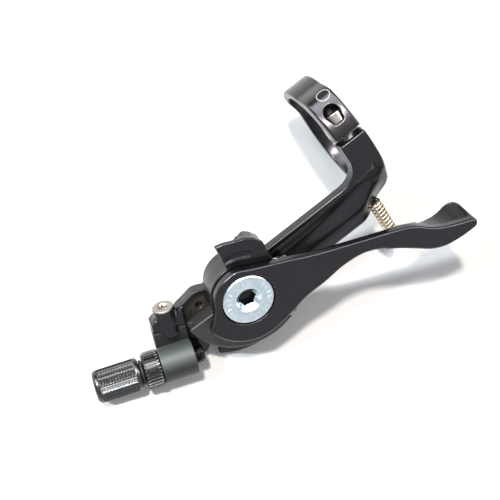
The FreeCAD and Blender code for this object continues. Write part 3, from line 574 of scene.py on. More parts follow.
# The cap's socket is painted dark below its top as painted shade.
turned_metal("zinc_plate", 0.80, 0.25, 6.0, (0.86, 0.99, 1.06), axis=(HUB, 9.0),
    painted_shade_below=CAP_TOP - 1.7)
turned_metal("steel_fastener", 0.34, 0.31, 8.0, (1.08, 1.0, 0.90))
turned_metal("bright_steel", 0.55, 0.24, 8.0)
turned_metal("spring_wire", 0.35, 0.30, 8.0)
turned_metal("gold_wire", 0.62, 0.24, 8.0, (1.15, 0.93, 0.62))
turned_metal("black_anodised", 0.075, 0.24, 9.0)
turned_metal("grey_anodised", 0.20, 0.33, 7.0, (0.93, 1.02, 1.0), axis=(CABLE, 12.0))
plastic("polymer", 0.022, 0.42)
plastic("seal_rubber", 0.012, 0.7)


# ---- casting: ring, arm, hub, bracket
BAND_OUTER, BAND_NARROW, WIDE_SIDE = BAR_RADIUS + 2.4, 1.5, math.radians(125)
GAP_CORNERS = [(14.0, 114.6), (16.2, 114.4), (23.0, 109.4), (23.0, 115.5), (14.0, 115.5)]
ARM_FRONT, ARM_BACK, ARM_TOP = 3.1, 16.6, 19.4
BASE_LOW, BASE_TOP = 16.6, 20.7
BAR_CLEARANCE = 16.6
BOLT_ANGLE, BOLT_OFFSET = 115.5, 17.95
HEAD_SEAT, HEAD_RADIUS, HEAD_HEIGHT = 3.4, 2.3, 2.8
POCKET_RADIUS, POCKET_REACH = 2.7, 2.6
BUFFER_LOW, BUFFER_HIGH = box_mm("support_spring")
BUFFER_X, BUFFER_Z = (BUFFER_LOW[0] + BUFFER_HIGH[0]) / 2, (BUFFER_LOW[2] + BUFFER_HIGH[2]) / 2
BUFFER_START, BUFFER_ROOM = 14.2, 2.15
FRONT_BEND, BACK_BEND = 5.5, 8.0
CHANNEL_DEPTH, CREST_SLOPE, RIB_SLOPE, BACK_DROP = 2.3, 2.4, 4.6, 1.1
ARM_BOTTOM, ARM_START = 13.0, -8.0
CREST = [(-4.4, -7.6), (-3.2, -3.6), (-1.9, -0.6), (0.2, 1.3), (3.0, 2.7), (7.8, 3.8),
    (20.0, 4.3), (37.0, 4.5)]
RIB = [(37.5, 13.4), (19.7, 13.0), (10.0, 12.2), (4.0, 10.9), (0.0, 8.4), (-2.4, 4.6),
    (-3.7, -0.5), (-4.6, -5.0)]
BRACKET = [(-4.0, 2.0), (-8.0, 0.9), (-10.6, 1.15), (-12.0, 1.0), (-16.9, -2.5), (-17.3, -3.6),
    (-23.0, -3.6), (-24.2, -4.6), (-24.2, -7.1), (-22.0, -7.1), (-21.3, -8.2),
    (-20.1, -9.0), (-18.8, -8.6), (-17.6, -7.1), (-15.4, -7.1), (-15.2, -12.2), (-7.0, -12.4)]
RECESS = [(-4.0, 1.2), (-8.2, 0.2), (-10.5, 0.45), (-11.7, 0.3), (-15.4, -2.4), (-15.3, -7.0),
    (-14.6, -11.6), (-6.0, -14.0)]
SCREW_LINE, SCREW_HEIGHT = -20.1, 19.5
BOSS_TOP = -1.25


def ring_shape(g):
    """The clamp ring: narrow far from the gap, thicker where the clamp screw passes."""
    radius, angle = np.hypot(g.y, g.z), np.degrees(np.arctan2(g.z, g.y))
    towards = g.y * math.cos(WIDE_SIDE) + g.z * math.sin(WIDE_SIDE)
    half = BAND_NARROW + (BAND_HALF_WIDTH - BAND_NARROW) * smooth(towards, -13.0, -1.0)
    swell = smooth(angle, BOLT_ANGLE - 3, BOLT_ANGLE) * (1 - smooth(angle, 146, 170))
    outer = BAND_OUTER + (ELBOW_OUTER - BAND_OUTER) * swell
    return both(radius - outer, np.abs(g.x) - half, 0.7)


def arm_shape(g):
    """The arm: a channel between a sharp front crest and a soft rib along its back."""
    plan = polygon(g.x, g.y, arc(FRONT_BEND, 180, 90, 7, BAND_HALF_WIDTH + FRONT_BEND,
        ARM_FRONT - FRONT_BEND) + [(PIVOT_X, ARM_FRONT), (PIVOT_X, ARM_BACK)]
        + arc(BACK_BEND, 90, 180, 9, -BAND_HALF_WIDTH + BACK_BEND, ARM_BACK - BACK_BEND)
        + [(-BAND_HALF_WIDTH, ARM_START), (BAND_HALF_WIDTH, ARM_START)])
    elbow_top = np.sqrt(np.maximum(ELBOW_OUTER ** 2 - g.y ** 2, 150.0))
    top = elbow_top + (ARM_TOP - elbow_top) * smooth(g.x, -1.0, 9.0)
    channel = polygon(g.x, g.y, CREST + RIB) < 0
    front, back = path_distance(g.x, g.y, CREST), path_distance(g.x, g.y, RIB)
    floor = CHANNEL_DEPTH * smooth(front, 0.0, CREST_SLOPE) * smooth(back, 0.0, RIB_SLOPE) * channel
    behind = smooth(-polygon(g.x, g.y, RIB + [(-9.0, -8.0), (-9.0, 24.0), (37.5, 24.0)]), 0.0, 3.6)
    top = top - floor - BACK_DROP * behind - 0.7 * smooth(back, 4.0, 0.0) * smooth(g.y, 2.0, 8.0)
    edge = 0.5 + 0.7 * behind
    bottom = ARM_BOTTOM + 1.1 * smooth(-g.y, -9.0, -5.0)
    shape = both(plan, np.maximum(g.z - top, bottom - g.z), edge)
    return without(shape, np.hypot(g.y, g.z) - BAR_CLEARANCE, 0.4)


GUARD_RADIUS, GUARD_TAPER, GUARD_TURN, GUARD_LOW = 21.9, 2.0, (-4, 108), 18.3
NOTCH_TURN, NOTCH_RADIUS = (33, 42), 16.3
STOP_CORNER = (-15.4, -15.9)


def guard_shape(x, y, g):
    """The lip under the drum's rim, with a slot to pass the cable's end through."""
    turn = np.degrees(np.arctan2(y, x))
    lip = both(disc(x, y, GUARD_RADIUS - GUARD_TAPER * smooth(turn, 40, 105)), wedge(x, y, *GUARD_TURN),
        0.8)
    lip = without(lip, both(wedge(x, y, *NOTCH_TURN), NOTCH_RADIUS - np.hypot(x, y), 0.5), 0.5)
    lx, ly = to_lever(x, y)
    lip = without(lip, np.maximum(lx - STOP_CORNER[0], STOP_CORNER[1] - ly), 0.4)
    return both(lip, slab(g, GUARD_LOW, BASE_TOP), 0.5)


def to_lever(x, y):
    """From hub directions to the lever's."""
    c, s = math.cos(math.radians(LEVER_ANGLE)), math.sin(math.radians(LEVER_ANGLE))
    return x * c + y * s, y * c - x * s


SMALL_BASE, WIDE_BASE, WIDE_TURN = 8.4, 14.6, (-12, 160)
EAR_ANGLE, EAR_REACH, EAR_RADIUS = math.radians(-135), 9.9, 2.05
PLATE_LOW, LUG_TOP, LUG_EDGE, LUG_END = 17.0, 21.6, -15.35, -24.3
BOSS_RADIUS, BOSS_END, BOSS_FLARE = 2.85, -9.0, 0.7
RIB_LINE, RIB_HEIGHT, RIB_RADIUS, RIB_RUN = -16.3, 19.9, 1.5, (-7.1, -3.2)
RECESS_FLOOR, RECESS_INNER = 19.3, 9.2
DRAIN, DRAIN_RADIUS, DRAIN_FLOOR = (-10.85, -4.0), 0.95, 17.6


def hub_shape(g):
    """The hub's base with the cable guard, the pawl's ear and the cable stop's bracket."""
    x, y = g.x - PIVOT_X, g.y - PIVOT_Y
    lx, ly = to_lever(x, y)
    base = both(disc(x, y, SMALL_BASE), slab(g, BASE_LOW, BASE_TOP), 0.4)
    base = either(base, both(both(disc(x, y, WIDE_BASE), wedge(x, y, *WIDE_TURN)),
        slab(g, BASE_LOW, BASE_TOP), 0.5), 0.3)
    base = either(base, guard_shape(x, y, g), 0.6)
    ear = both(disc(x, y, EAR_RADIUS, EAR_REACH * math.cos(EAR_ANGLE), EAR_REACH * math.sin(EAR_ANGLE)),
        slab(g, BASE_LOW, BASE_TOP), 0.3)
    base = either(base, ear, 0.4)
    outline = polygon(lx, ly, BRACKET)
    plate = both(outline, slab(g, PLATE_LOW, BASE_TOP), 0.4)
    lug = both(both(outline, lx - LUG_EDGE), slab(g, PLATE_LOW, LUG_TOP), 0.5)
    plate = either(plate, both(lug, LUG_END - lx), 0.3)
    across, height = lx - SCREW_LINE, g.z - SCREW_HEIGHT
    flare = BOSS_FLARE * smooth(-ly, 5.5, 8.5)
    boss = both(np.hypot(across, height) - BOSS_RADIUS - flare,
        between_values(BOSS_END, ly, BOSS_TOP), 0.2)
    plate = either(plate, boss, 0.7)
    rib = both(np.hypot(lx - RIB_LINE, g.z - RIB_HEIGHT) - RIB_RADIUS,
        between_values(RIB_RUN[0], ly, RIB_RUN[1]), 0.3)
    plate = either(plate, rib, 0.35)
    plate = both(plate, -outline_below_seam(lx, ly), 0.25)
    recess = both(both(polygon(lx, ly, RECESS), RECESS_INNER - np.hypot(x, y), 0.5),
        RECESS_FLOOR - g.z, 0.5)
    shape = without(either(base, plate, 0.4), recess, 0.25)
    hole = np.hypot(lx - DRAIN[0], ly - DRAIN[1])
    return without(shape, both(hole - DRAIN_RADIUS, DRAIN_FLOOR - g.z), 0.25)


SEAM_LEVEL, SEAM_DIP, SEAM_MIDDLE = -7.12, 1.9, -19.7


def outline_below_seam(lx, ly):
    """Negative on the cable stop's side of the wavy seam between bracket and stop."""
    seam = SEAM_LEVEL - SEAM_DIP * smooth(-np.abs(lx - SEAM_MIDDLE), -2.4, -1.1)
    return np.maximum(ly - seam, lx - LUG_EDGE)


def bolt_frame():
    """The clamp screw's own frame, its z from the gap towards the head."""
    turned = math.radians(BOLT_ANGLE)
    return frame_along((0, BOLT_OFFSET * math.cos(turned), BOLT_OFFSET * math.sin(turned)),
        (0, -math.sin(turned), math.cos(turned)), (1, 0, 0))


def in_frame(g, place):
    """The grid's points in another frame, as three arrays."""
    inverse = np.array(place.inverted() @ g.place)
    return tuple(inverse[k, 0] * g.x + inverse[k, 1] * g.y + inverse[k, 2] * g.z + inverse[k, 3]
        for k in range(3))


CASTING_BOX, CASTING_STEP = ((-4.2, -20.6, -18.8), (70.2, 27.0, 23.0)), 0.23
BOLT_ROOM, BOLT_END = 1.65, -6.2
POST_ROOM, POST_HEAD_ROOM, POST_HEAD_HEIGHT = 3.6, 5.0, 1.6
CAM_OUTER, CAM_INNER, CAM_TURN, CAM_LOW = 12.65, 6.15, (29.5, 170.5), 18.9
STOP_SCREW_END = -9.5


def casting():
    """Clamp ring, arm, hub base, cable guard and bracket in one piece."""
    g = Grid(*CASTING_BOX, CASTING_STEP)
    shape = either(either(ring_shape(g), arm_shape(g), 0.8), hub_shape(g), 0.9)
    bore = np.where(np.abs(g.x) < BAND_HALF_WIDTH, BAR_RADIUS, BAR_CLEARANCE)
    shape = without(shape, np.hypot(g.y, g.z) - bore, 0.35)
    corners = [arc(radius, angle, angle, 1)[0] for radius, angle in GAP_CORNERS]
    shape = without(shape, polygon(g.y, g.z, corners), 0.3)
    bx, by, bz = in_frame(g, bolt_frame())
    along = np.hypot(bx, by)
    pocket = np.hypot(along, np.maximum(bz - HEAD_SEAT - POCKET_REACH, 0)) - POCKET_RADIUS
    shape = without(shape, both(pocket, HEAD_SEAT - bz, 0.3), 0.3)
    shape = without(shape, both(along - BOLT_ROOM, between_values(BOLT_END, bz, HEAD_SEAT + 1)))
    x, y = g.x - PIVOT_X, g.y - PIVOT_Y
    shape = without(shape, both(disc(x, y, POST_ROOM), g.z - CAP_TOP), 0.2)
    head_room = slab(g, 10, BASE_LOW + POST_HEAD_HEIGHT)
    shape = without(shape, both(disc(x, y, POST_HEAD_ROOM), head_room), 0.2)
    cam = both(both(disc(x, y, CAM_OUTER), -disc(x, y, CAM_INNER)), wedge(x, y, *CAM_TURN))
    shape = without(shape, both(cam, CAM_LOW - g.z))
    seat = both(np.hypot(g.x - BUFFER_X, g.z - BUFFER_Z) - BUFFER_ROOM, BUFFER_START - 0.1 - g.y)
    shape = without(shape, seat, 0.2)
    lx, ly = to_lever(x, y)
    screw_line = np.hypot(lx - SCREW_LINE, g.z - SCREW_HEIGHT)
    shape = without(shape, both(screw_line - BOLT_ROOM, between_values(STOP_SCREW_END, ly, 0.0)))
    solid("arm_casting", g, shape, "clamp_and_arm", "black_coat", "arm_body")


# ---- lever
LEVER_LARGE = 12.4
PAD_END = 64.9
PAD_START, FLARE, FLARE_RUN = 38.0, 1.5, (53.0, 62.0)
FACE = [(46, 6.3), (49.2, 5.2), (52.4, 4.0), (56.0, 3.3), (60.0, 3.0), (63.9, 2.9)]
HOLLOW_RIM, HOLLOW_DEPTH, HOLLOW_RUN = 1.7, 1.2, (15.0, 45.0)
BUSH_SEAT, BUSH_SEAT_LOW, BUSH_BORE = 7.0, 28.2, 4.6
PIN_REACH, PIN_RADIUS = 5.8, 1.0
LEVER_EDGE = (arc(8.9, 184, 100, 6) + [(3.2, 8.25), (12.0, 7.7), (20.0, 7.0), (33.5, 6.8),
    (41.0, 6.7), (46.0, 6.3), (49.2, 5.2), (52.4, 4.0),
    (56.0, 3.3), (60.0, 3.0), (63.9, 2.9), (PAD_END, 2.2),
    (64.6, 0.9), (62.8, -0.1), (59.5, -1.4), (55.5, -2.3),
    (51.2, -2.0), (46.4, -0.3), (41.5, 1.3), (35.6, 2.8),
    (31.0, 2.8), (26.0, 1.2), (20.5, -1.9), (15.1, -4.5), (10.3, -8.1)]
    + arc(LEVER_LARGE, -63, -150, 8) + [(-9.6, -3.4)])
PAD_SIDE = [(40.0, 31.5), (40.0, 27.2), (46.0, 27.1), (49.5, 25.0), (53.5, 22.6), (58.0, 21.0),
    (62.0, 19.0), (63.6, 18.7), (65.0, 19.4), (66.0, 24.0), (66.0, 31.5)]
DISH = [(50.0, 27.4), (54.5, 28.5), (60.0, 28.75), (62.6, 28.5), (63.7, 27.0), (64.1, 22.0),
    (64.6, 16.0), (48.0, 16.0), (47.0, 24.0)]


def lever():
    """The thumb lever: a flat plate over the hub and a hanging, dished pad at its end."""
    g = Grid((-13.2, -13.2, 18.6), (65.6, 9.6, CAP_TOP), 0.2, LEVER)
    outline = polygon(g.x, g.y, curve(LEVER_EDGE, 5))
    plate = both(outline, slab(g, LEVER_LOW, CAP_TOP), 0.75)
    flare = FLARE * smooth(g.x, *FLARE_RUN) * np.clip((CAP_TOP - g.z) / 10.0, 0, 1)
    far_from_pad = 9.0
    hanging = np.where(g.x > PAD_START, polygon(g.x, g.y - flare, curve(LEVER_EDGE, 3)), far_from_pad)
    pad = both(hanging, polygon(g.x, g.z, curve(PAD_SIDE, 4)), 0.6)
    pad = both(pad, g.z - CAP_TOP, 0.55)
    face = np.interp(g.x.ravel(), *zip(*FACE))
    depth = (face[:, None, None] + flare - 0.8) - g.y
    pad = without(pad, both(polygon(g.x, g.z, curve(DISH, 4)), depth, 0.3), 0.45)
    shape = either(plate, pad, 0.4)
    hollow = both(polygon(g.x, g.y, curve(LEVER_EDGE, 3)) + HOLLOW_RIM,
        slab(g, LEVER_LOW - 1, LEVER_LOW + HOLLOW_DEPTH), 0.3)
    hollow = both(hollow, between_values(HOLLOW_RUN[0], g.x, HOLLOW_RUN[1]), 1.0)
    shape = without(shape, hollow, 0.3)
    shape = without(shape, both(disc(g.x, g.y, BUSH_SEAT), BUSH_SEAT_LOW - g.z), 0.25)
    shape = without(shape, disc(g.x, g.y, BUSH_BORE), 0.15)
    for side in (PIN_REACH, -PIN_REACH):
        shape = without(shape, both(disc(g.x, g.y, PIN_RADIUS, side), g.z - 28.3))
    solid("thumb_lever", g, shape, "lever", "black_coat", "main_lever")


# ---- drum, trigger and pivot cap
SLANT = 0.7071
DRUM_LOW, DRUM_TOP = box_mm("cable_drum")[0][2], 25.6
DRUM_RADIUS, DRUM_START, DRUM_END = 17.0, -2.0, 128.0
GROOVE_RADIUS, GROOVE_LOW, GROOVE_HIGH = 15.1, 22.8, 24.6
NECK_TOP, NECK_RADIUS, COLLAR_RADIUS = 27.1, 7.7, 8.0
SPRING_ROOM, SPRING_ROOM_FLOOR = (4.5, 6.7), 24.6
CAM_NOTCH, CAM_NOTCH_INNER, CAM_NOTCH_TOP = (148, 214), 7.1, 23.1
NIPPLE_ANGLE, NIPPLE_RADIUS = math.radians(112), 1.7
BALL_ANGLE, BALL_REACH, BALL_ROOM = math.radians(60), 9.6, 1.15


def drum():
    """The cable drum: a grooved sector on a collar round the post."""
    g = Grid((-10.6, -8.1, DRUM_LOW), (DRUM_RADIUS, DRUM_RADIUS, NECK_TOP), 0.2, HUB)
    radius = np.hypot(g.x, g.y)
    rim = both(disc(g.x, g.y, DRUM_RADIUS), wedge(g.x, g.y, DRUM_START, DRUM_END), 0.8)
    rim = both(rim, slab(g, DRUM_LOW, DRUM_TOP), 0.35)
    rim = both(rim, (radius - DRUM_RADIUS + g.z - DRUM_TOP + 0.45) * SLANT, 0.3)
    collar = both(disc(g.x, g.y, COLLAR_RADIUS), slab(g, DRUM_LOW, DRUM_TOP), 0.2)
    shape = either(rim, collar, 0.4)
    shape = either(shape, both(disc(g.x, g.y, NECK_RADIUS), slab(g, DRUM_LOW, NECK_TOP), 0.2), 0.15)
    middle = (GROOVE_LOW + GROOVE_HIGH) / 2
    groove = both(GROOVE_RADIUS - radius, np.abs(g.z - middle) - 0.75 - 0.25 * (radius - GROOVE_RADIUS))
    shape = without(shape, groove, 0.2)
    inner, outer = SPRING_ROOM
    shape = without(shape, both(both(radius - outer, inner - radius), g.z - SPRING_ROOM_FLOOR))
    notch = both(both(disc(g.x, g.y, DRUM_RADIUS), wedge(g.x, g.y, *CAM_NOTCH)),
        both(CAM_NOTCH_INNER - radius, g.z - CAM_NOTCH_TOP))
    shape = without(shape, notch, 0.1)
    nipple = disc(g.x, g.y, NIPPLE_RADIUS, GROOVE_RADIUS * math.cos(NIPPLE_ANGLE),
        GROOVE_RADIUS * math.sin(NIPPLE_ANGLE))
    shape = without(shape, both(nipple, GROOVE_LOW - g.z), 0.2)
    seat = disc(g.x, g.y, BALL_ROOM, BALL_REACH * math.cos(BALL_ANGLE),
        BALL_REACH * math.sin(BALL_ANGLE))
    shape = without(shape, both(seat, g.z - 25.0))
    shape = without(shape, radius - 3.55)
    lx, ly = to_lever(g.x, g.y)
    for side in (PIN_REACH, -PIN_REACH):
        shape = without(shape, both(disc(lx, ly, PIN_RADIUS, side), 24.9 - g.z))
    solid("drum_moulding", g, shape, "lever", "polymer", "cable_drum")


TRIGGER_PLATE, TRIGGER_TOP = 25.75, 27.0
TRIGGER_RING, TRIGGER_BORE, SKIRT_INNER, SKIRT_LOW, SKIRT_TURN = 9.1, 7.78, 8.25, 21.2, (-100, -4)
WALL_INNER, WALL_FOOT, WALL_TURN = 13.5, 21.7, (-166, -121)
LANE_MIDDLE, LANE_HALF, LANE_TURN, LANE_DEPTH = 11.3, 0.8, (-132, -80), 0.55
NUB = [(8.4, -92.0), (12.4, -95.4), (15.6, -95.6), (15.4, -104.0), (15.4, -113.0), (15.4, -119.5),
    (15.4, -126.0), (15.2, -133.0), (14.5, -141.8), (13.0, -149.0), (12.1, -156.0),
    (11.6, -163.0), (10.6, -168.5), (8.9, -172.0)]


def polar(points):
    return [(radius * math.cos(math.radians(angle)), radius * math.sin(math.radians(angle)))
        for radius, angle in points]


def trigger():
    """The release trigger: a thin plate round the neck with a raised nub wall and a grooved lane."""
    g = Grid((-15.6, -17.6, SKIRT_LOW), (9.3, 9.3, TRIGGER_TOP), 0.15, HUB)
    x, y = g.x, g.y
    radius, angle = np.hypot(x, y), np.degrees(np.arctan2(y, x))
    plan = polygon(x, y, polar(NUB) + [(0.0, 0.0)])
    sink = 0.9 * smooth(angle, -116, -100) * smooth(radius, 12.0, 15.5)
    plate = both(plan, np.maximum(g.z - TRIGGER_TOP + sink, TRIGGER_PLATE - 0.3 - sink - g.z), 0.5)
    ring = both(radius - TRIGGER_RING, slab(g, TRIGGER_PLATE, TRIGGER_TOP), 0.3)
    shape = either(plate, ring, 0.3)
    foot = WALL_FOOT + 1.6 * smooth(angle, -128, -119)
    wall = both(both(plan, WALL_INNER - radius, 0.4), wedge(x, y, *WALL_TURN), 0.5)
    wall = both(wall, np.maximum(foot - g.z, g.z - TRIGGER_TOP), 0.5)
    shape = both(either(shape, wall, 0.7), g.z - TRIGGER_TOP, 0.1)
    lane = both(np.abs(radius - LANE_MIDDLE) - LANE_HALF, wedge(x, y, *LANE_TURN), 0.7)
    shape = without(shape, both(lane, TRIGGER_TOP - LANE_DEPTH - g.z, 0.3), 0.22)
    skirt = both(both(radius - TRIGGER_RING, SKIRT_INNER - radius), wedge(x, y, *SKIRT_TURN), 0.2)
    shape = either(shape, both(skirt, slab(g, SKIRT_LOW, TRIGGER_TOP), 0.3), 0.15)
    shape = without(shape, radius - TRIGGER_BORE, 0.12)
    solid("release_nub", g, shape, "trigger", "black_coat", "release_trigger")


CAP_RADIUS = (box_mm("pivot_bolt")[1][0] - box_mm("pivot_bolt")[0][0]) / 2
CAP_LOW, SHANK_LOW, SHANK_RADIUS = 28.55, 20.7, 2.0
COLLAR_LOW, COLLAR_SIZE = 26.4, 2.85
HEX_REACH, HEX_FLOOR, HEX_FACES = 1.95, 26.9, np.radians((10, 70, 130))
CONE_RADIUS, CONE_SLOPE, CONE_FLOOR = 3.35, 0.85, 28.5
TICKS, TICK_RADIUS, TICK_HALF, TICK_LINE = 24, 5.3, 0.55, 0.13


def cap():
    """The pivot's cap screw, with a hexagon socket and a ring of plain ticks."""
    g = Grid((-CAP_RADIUS, -CAP_RADIUS, box_mm("pivot_bolt")[0][2]), (CAP_RADIUS, CAP_RADIUS, CAP_TOP),
        0.1, HUB)
    radius, angle = np.hypot(g.x, g.y), np.arctan2(g.y, g.x)
    head = both(radius - CAP_RADIUS, slab(g, CAP_LOW, CAP_TOP), 0.22)
    head = both(head, (radius - CAP_RADIUS + g.z - CAP_TOP + 0.45) * SLANT, 0.1)
    shape = either(head, radius - COLLAR_SIZE + np.maximum(COLLAR_LOW - g.z, 0))
    shape = np.minimum(shape, both(radius - SHANK_RADIUS, slab(g, SHANK_LOW, CAP_TOP)))
    shape = both(shape, slab(g, SHANK_LOW, CAP_TOP))
    hexagon = np.max([np.abs(g.x * math.cos(a) + g.y * math.sin(a)) for a in HEX_FACES], axis=0)
    shape = without(shape, both(hexagon - HEX_REACH, HEX_FLOOR - g.z), 0.05)
    cone = (radius - CONE_RADIUS + (CAP_TOP - g.z) * CONE_SLOPE) * 0.762
    shape = without(shape, both(cone, CONE_FLOOR - g.z), 0.1)
    turn = angle * TICKS / (2 * math.pi)
    tick = np.abs(turn - np.round(turn)) / TICKS * 2 * math.pi * radius - TICK_LINE
    tick = both(tick, np.abs(radius - TICK_RADIUS) - TICK_HALF)
    shape = without(shape, both(tick, CAP_TOP - 0.1 - g.z), 0.05)
    solid("cap_screw", g, shape, "clamp_and_arm", "zinc_plate", "pivot_bolt")


# ---- screws
def lobes(x, y, reach):
    """A six-lobed socket's outline."""
    angle = np.arctan2(y, x)
    return np.hypot(x, y) - reach * (1 + 0.16 * np.cos(6 * angle))


def thread(radius, angle, along, size, pitch, depth):
    """A screw thread's outside: a round bar with a winding V groove."""
    phase = along / pitch - angle / (2 * math.pi)
    return radius - size + depth * (1 - 2 * np.abs(phase - np.floor(phase) - 0.5))


def screw(name, place, head_low, head_high, head_radius, shank_low, shank_radius, socket, node):
    """A cap screw along its own axis, with a lobed socket and a cut thread."""
    g = Grid((-head_radius, -head_radius, shank_low), (head_radius, head_radius, head_high), 0.1, place)
    radius, angle = np.hypot(g.x, g.y), np.arctan2(g.y, g.x)
    head = both(radius - head_radius, slab(g, head_low, head_high), 0.22)
    shank = both(thread(radius, angle, g.z, shank_radius, 0.5, 0.24),
        slab(g, shank_low, head_low + 0.5))
    shape = np.minimum(head, shank)
    pit = both(lobes(g.x, g.y, socket), head_high - 1.3 - g.z)
    shape = without(shape, pit, 0.05)
    shape = without(shape, (radius - socket - 0.45 + head_high - g.z) * SLANT, 0.05)
    solid(name, g, shape, "clamp_and_arm", "steel_fastener", node)


def screws():
    """The clamp screw and the screw of the cable stop."""
    screw("clamp_screw", bolt_frame(), HEAD_SEAT, HEAD_SEAT + HEAD_HEIGHT, HEAD_RADIUS,
        BOLT_END, 1.5, 1.15, "clamp_bolt")
    place = frame_along(LEVER @ Vector((SCREW_LINE, -2.4, SCREW_HEIGHT)), SIDE, (0, 0, 1))
    screw("stop_clamp_screw", place, 0.0, 1.5, 2.75, -9.6, 1.5, 1.05, "stop_screw")


# ---- cable stop
STOP_RADIUS, STOP_MIDDLE, STOP_HALF, STOP_BORE = 4.6, -20.1, 4.5, 2.56
TAB_MIDDLE, TAB_HALF, TAP_RADIUS, TAP_END = -20.0, 4.4, 1.56, -12.1
CABLE_SIDE, CABLE_HEIGHT = -15.6, 23.8


def housing():
    """The stop's block: a barrel for the adjuster with a flat tab up to the wavy seam."""
    g = Grid((-24.6, -20.3, PLATE_LOW), (-15.6, -6.9, 28.4), 0.15, LEVER)
    across, height = g.y - CABLE_SIDE, g.z - CABLE_HEIGHT
    radius = np.hypot(across, height)
    along = np.abs(g.x - STOP_MIDDLE) - STOP_HALF
    shape = both(radius - STOP_RADIUS, along, 0.3)
    tab = both(np.maximum(np.abs(g.x - TAB_MIDDLE) - TAB_HALF, CABLE_SIDE - g.y),
        slab(g, PLATE_LOW, LUG_TOP), 0.35)
    tab = both(tab, outline_below_seam(g.x, g.y + 0.06), 0.25)
    shape = either(shape, tab, 0.12)
    shape = without(shape, radius - STOP_BORE, 0.25)
    hole = np.hypot(g.x - SCREW_LINE, g.z - SCREW_HEIGHT) - TAP_RADIUS
    shape = without(shape, both(hole, TAP_END - g.y))
    solid("stop_block", g, shape, "clamp_and_arm", "stop_anodising_and_shade", "stop_housing")


BARREL_RADIUS, BARREL_START, BARREL_END = 4.25, 10.0, 21.8
THREAD_RADIUS, THREAD_END = 2.5, -7.1
THREAD_PITCH, THREAD_DEPTH = 0.8, 0.42
FLUTES, FLUTE_DEPTH, KNURLS, KNURL_LEAN = 12, 0.28, 72, 9.0
MOUTH_RADIUS, MOUTH_FLOOR, CABLE_BORE = 2.55, 14.0, 1.0


def barrel():
    """The adjuster: axial flutes with bands of fine diagonal knurl, and its long thread."""
    def flutes(angle, along):
        wave = 0.5 + 0.5 * np.cos(FLUTES * angle)
        ridge = 1 - wave ** 6
        diagonal = 0.5 + 0.5 * np.cos(KNURLS * angle + KNURL_LEAN * along)
        inside = smooth(along, BARREL_START + 0.9, BARREL_START + 1.3)
        inside = inside * (1 - smooth(along, BARREL_END - 1.5, BARREL_END - 1.1))
        return inside * (ridge * (0.45 + 0.55 * diagonal) - 1.0)

    def winding(angle, along):
        phase = along / THREAD_PITCH - angle / (2 * math.pi)
        return -2 * np.abs(phase - np.floor(phase) - 0.5)

    rows = spaced(THREAD_RADIUS, THREAD_END + 0.3, BARREL_START - 0.1, 0.1, THREAD_DEPTH)
    rows += [(THREAD_RADIUS + 0.2, BARREL_START), (BARREL_RADIUS - 0.7, BARREL_START),
        (BARREL_RADIUS - 0.2, BARREL_START + 0.25), (BARREL_RADIUS, BARREL_START + 0.7)]
    rows += spaced(BARREL_RADIUS, BARREL_START + 0.8, BARREL_END - 0.8, 0.1, FLUTE_DEPTH)
    rows += [(BARREL_RADIUS - 0.05, BARREL_END - 0.6), (BARREL_RADIUS - 0.5, BARREL_END - 0.1),
        (BARREL_RADIUS - 0.75, BARREL_END), (3.0, BARREL_END), (2.6, BARREL_END - 0.35),
        (MOUTH_RADIUS, BARREL_END - 0.6), (MOUTH_RADIUS, MOUTH_FLOOR), (CABLE_BORE, MOUTH_FLOOR),
        (CABLE_BORE, THREAD_END + 0.2), (CABLE_BORE + 0.2, THREAD_END),
        (THREAD_RADIUS - 0.5, THREAD_END)]

    def pattern(angle, along):
        return np.where(along < BARREL_START, winding(angle, along), flutes(angle, along))

    lathe("cable_barrel", rows, 288, CABLE, "barrel", "black_anodised", "barrel_adjuster", pattern)


RING_RADIUS, RING_START, RING_END, RING_TEETH = 4.95, 4.6, 9.0, 34
SEAL_INNER, SEAL_OUTER, SEAL_WIDTH = 2.6, 3.25, 0.8


def lock_ring():
    """The ring that locks the adjuster, with teeth round its rim."""
    def teeth(angle, along):
        return -np.clip(0.8 + 1.6 * np.cos(RING_TEETH * angle), 0, 1)

    rows = [(STOP_BORE, RING_START), (RING_RADIUS - 0.55, RING_START),
        (RING_RADIUS - 0.2, RING_START + 0.2)]
    rows += spaced(RING_RADIUS, RING_START + 0.45, RING_END - 0.45, 0.5, 0.3)
    rows += [(RING_RADIUS - 0.2, RING_END - 0.2), (RING_RADIUS - 0.55, RING_END), (STOP_BORE, RING_END)]
    lathe("knurled_ring", rows, RING_TEETH * 12, CABLE, "lock_ring", "black_anodised",
        "lock_ring", teeth)


def seal():
    """The rubber ring between the lock ring and the adjuster."""
    start, end = RING_END + 0.1, RING_END + 0.1 + SEAL_WIDTH
    profile = [(SEAL_INNER, start), (SEAL_OUTER, start), (SEAL_OUTER, end), (SEAL_INNER, end)]
    lathe("barrel_o_ring", rounded(profile, 0.3), 64, CABLE, "barrel_seat", "seal_rubber",
        "barrel_seal")


# ---- springs
def coil_points(low, high, radius, turns, per_turn=40):
    """A helix along z with a closed, flat turn at each end."""
    flat = 0.9
    t = np.linspace(0, turns, int(turns * per_turn) + 1)
    lift = np.clip((t - flat) / (turns - 2 * flat), 0, 1)
    lift = (lift * 0.93 + 0.035 * np.clip(t / flat, 0, 1)
        + 0.035 * np.clip((t - turns + flat) / flat, 0, 1))
    angle = 2 * math.pi * t
    return np.stack([radius * np.cos(angle), radius * np.sin(angle), low + (high - low) * lift], 1)


LEG_WIRE = 0.22
LEG = [(-9.4, -3.2, 24.4), (-11.2, -1.6, 24.6), (-12.3, -0.6, 25.0), (-13.4, -0.2, 25.3),
    (-14.2, 0.4, 25.2), (-14.4, 1.3, 24.8), (-13.8, 2.0, 24.2)]


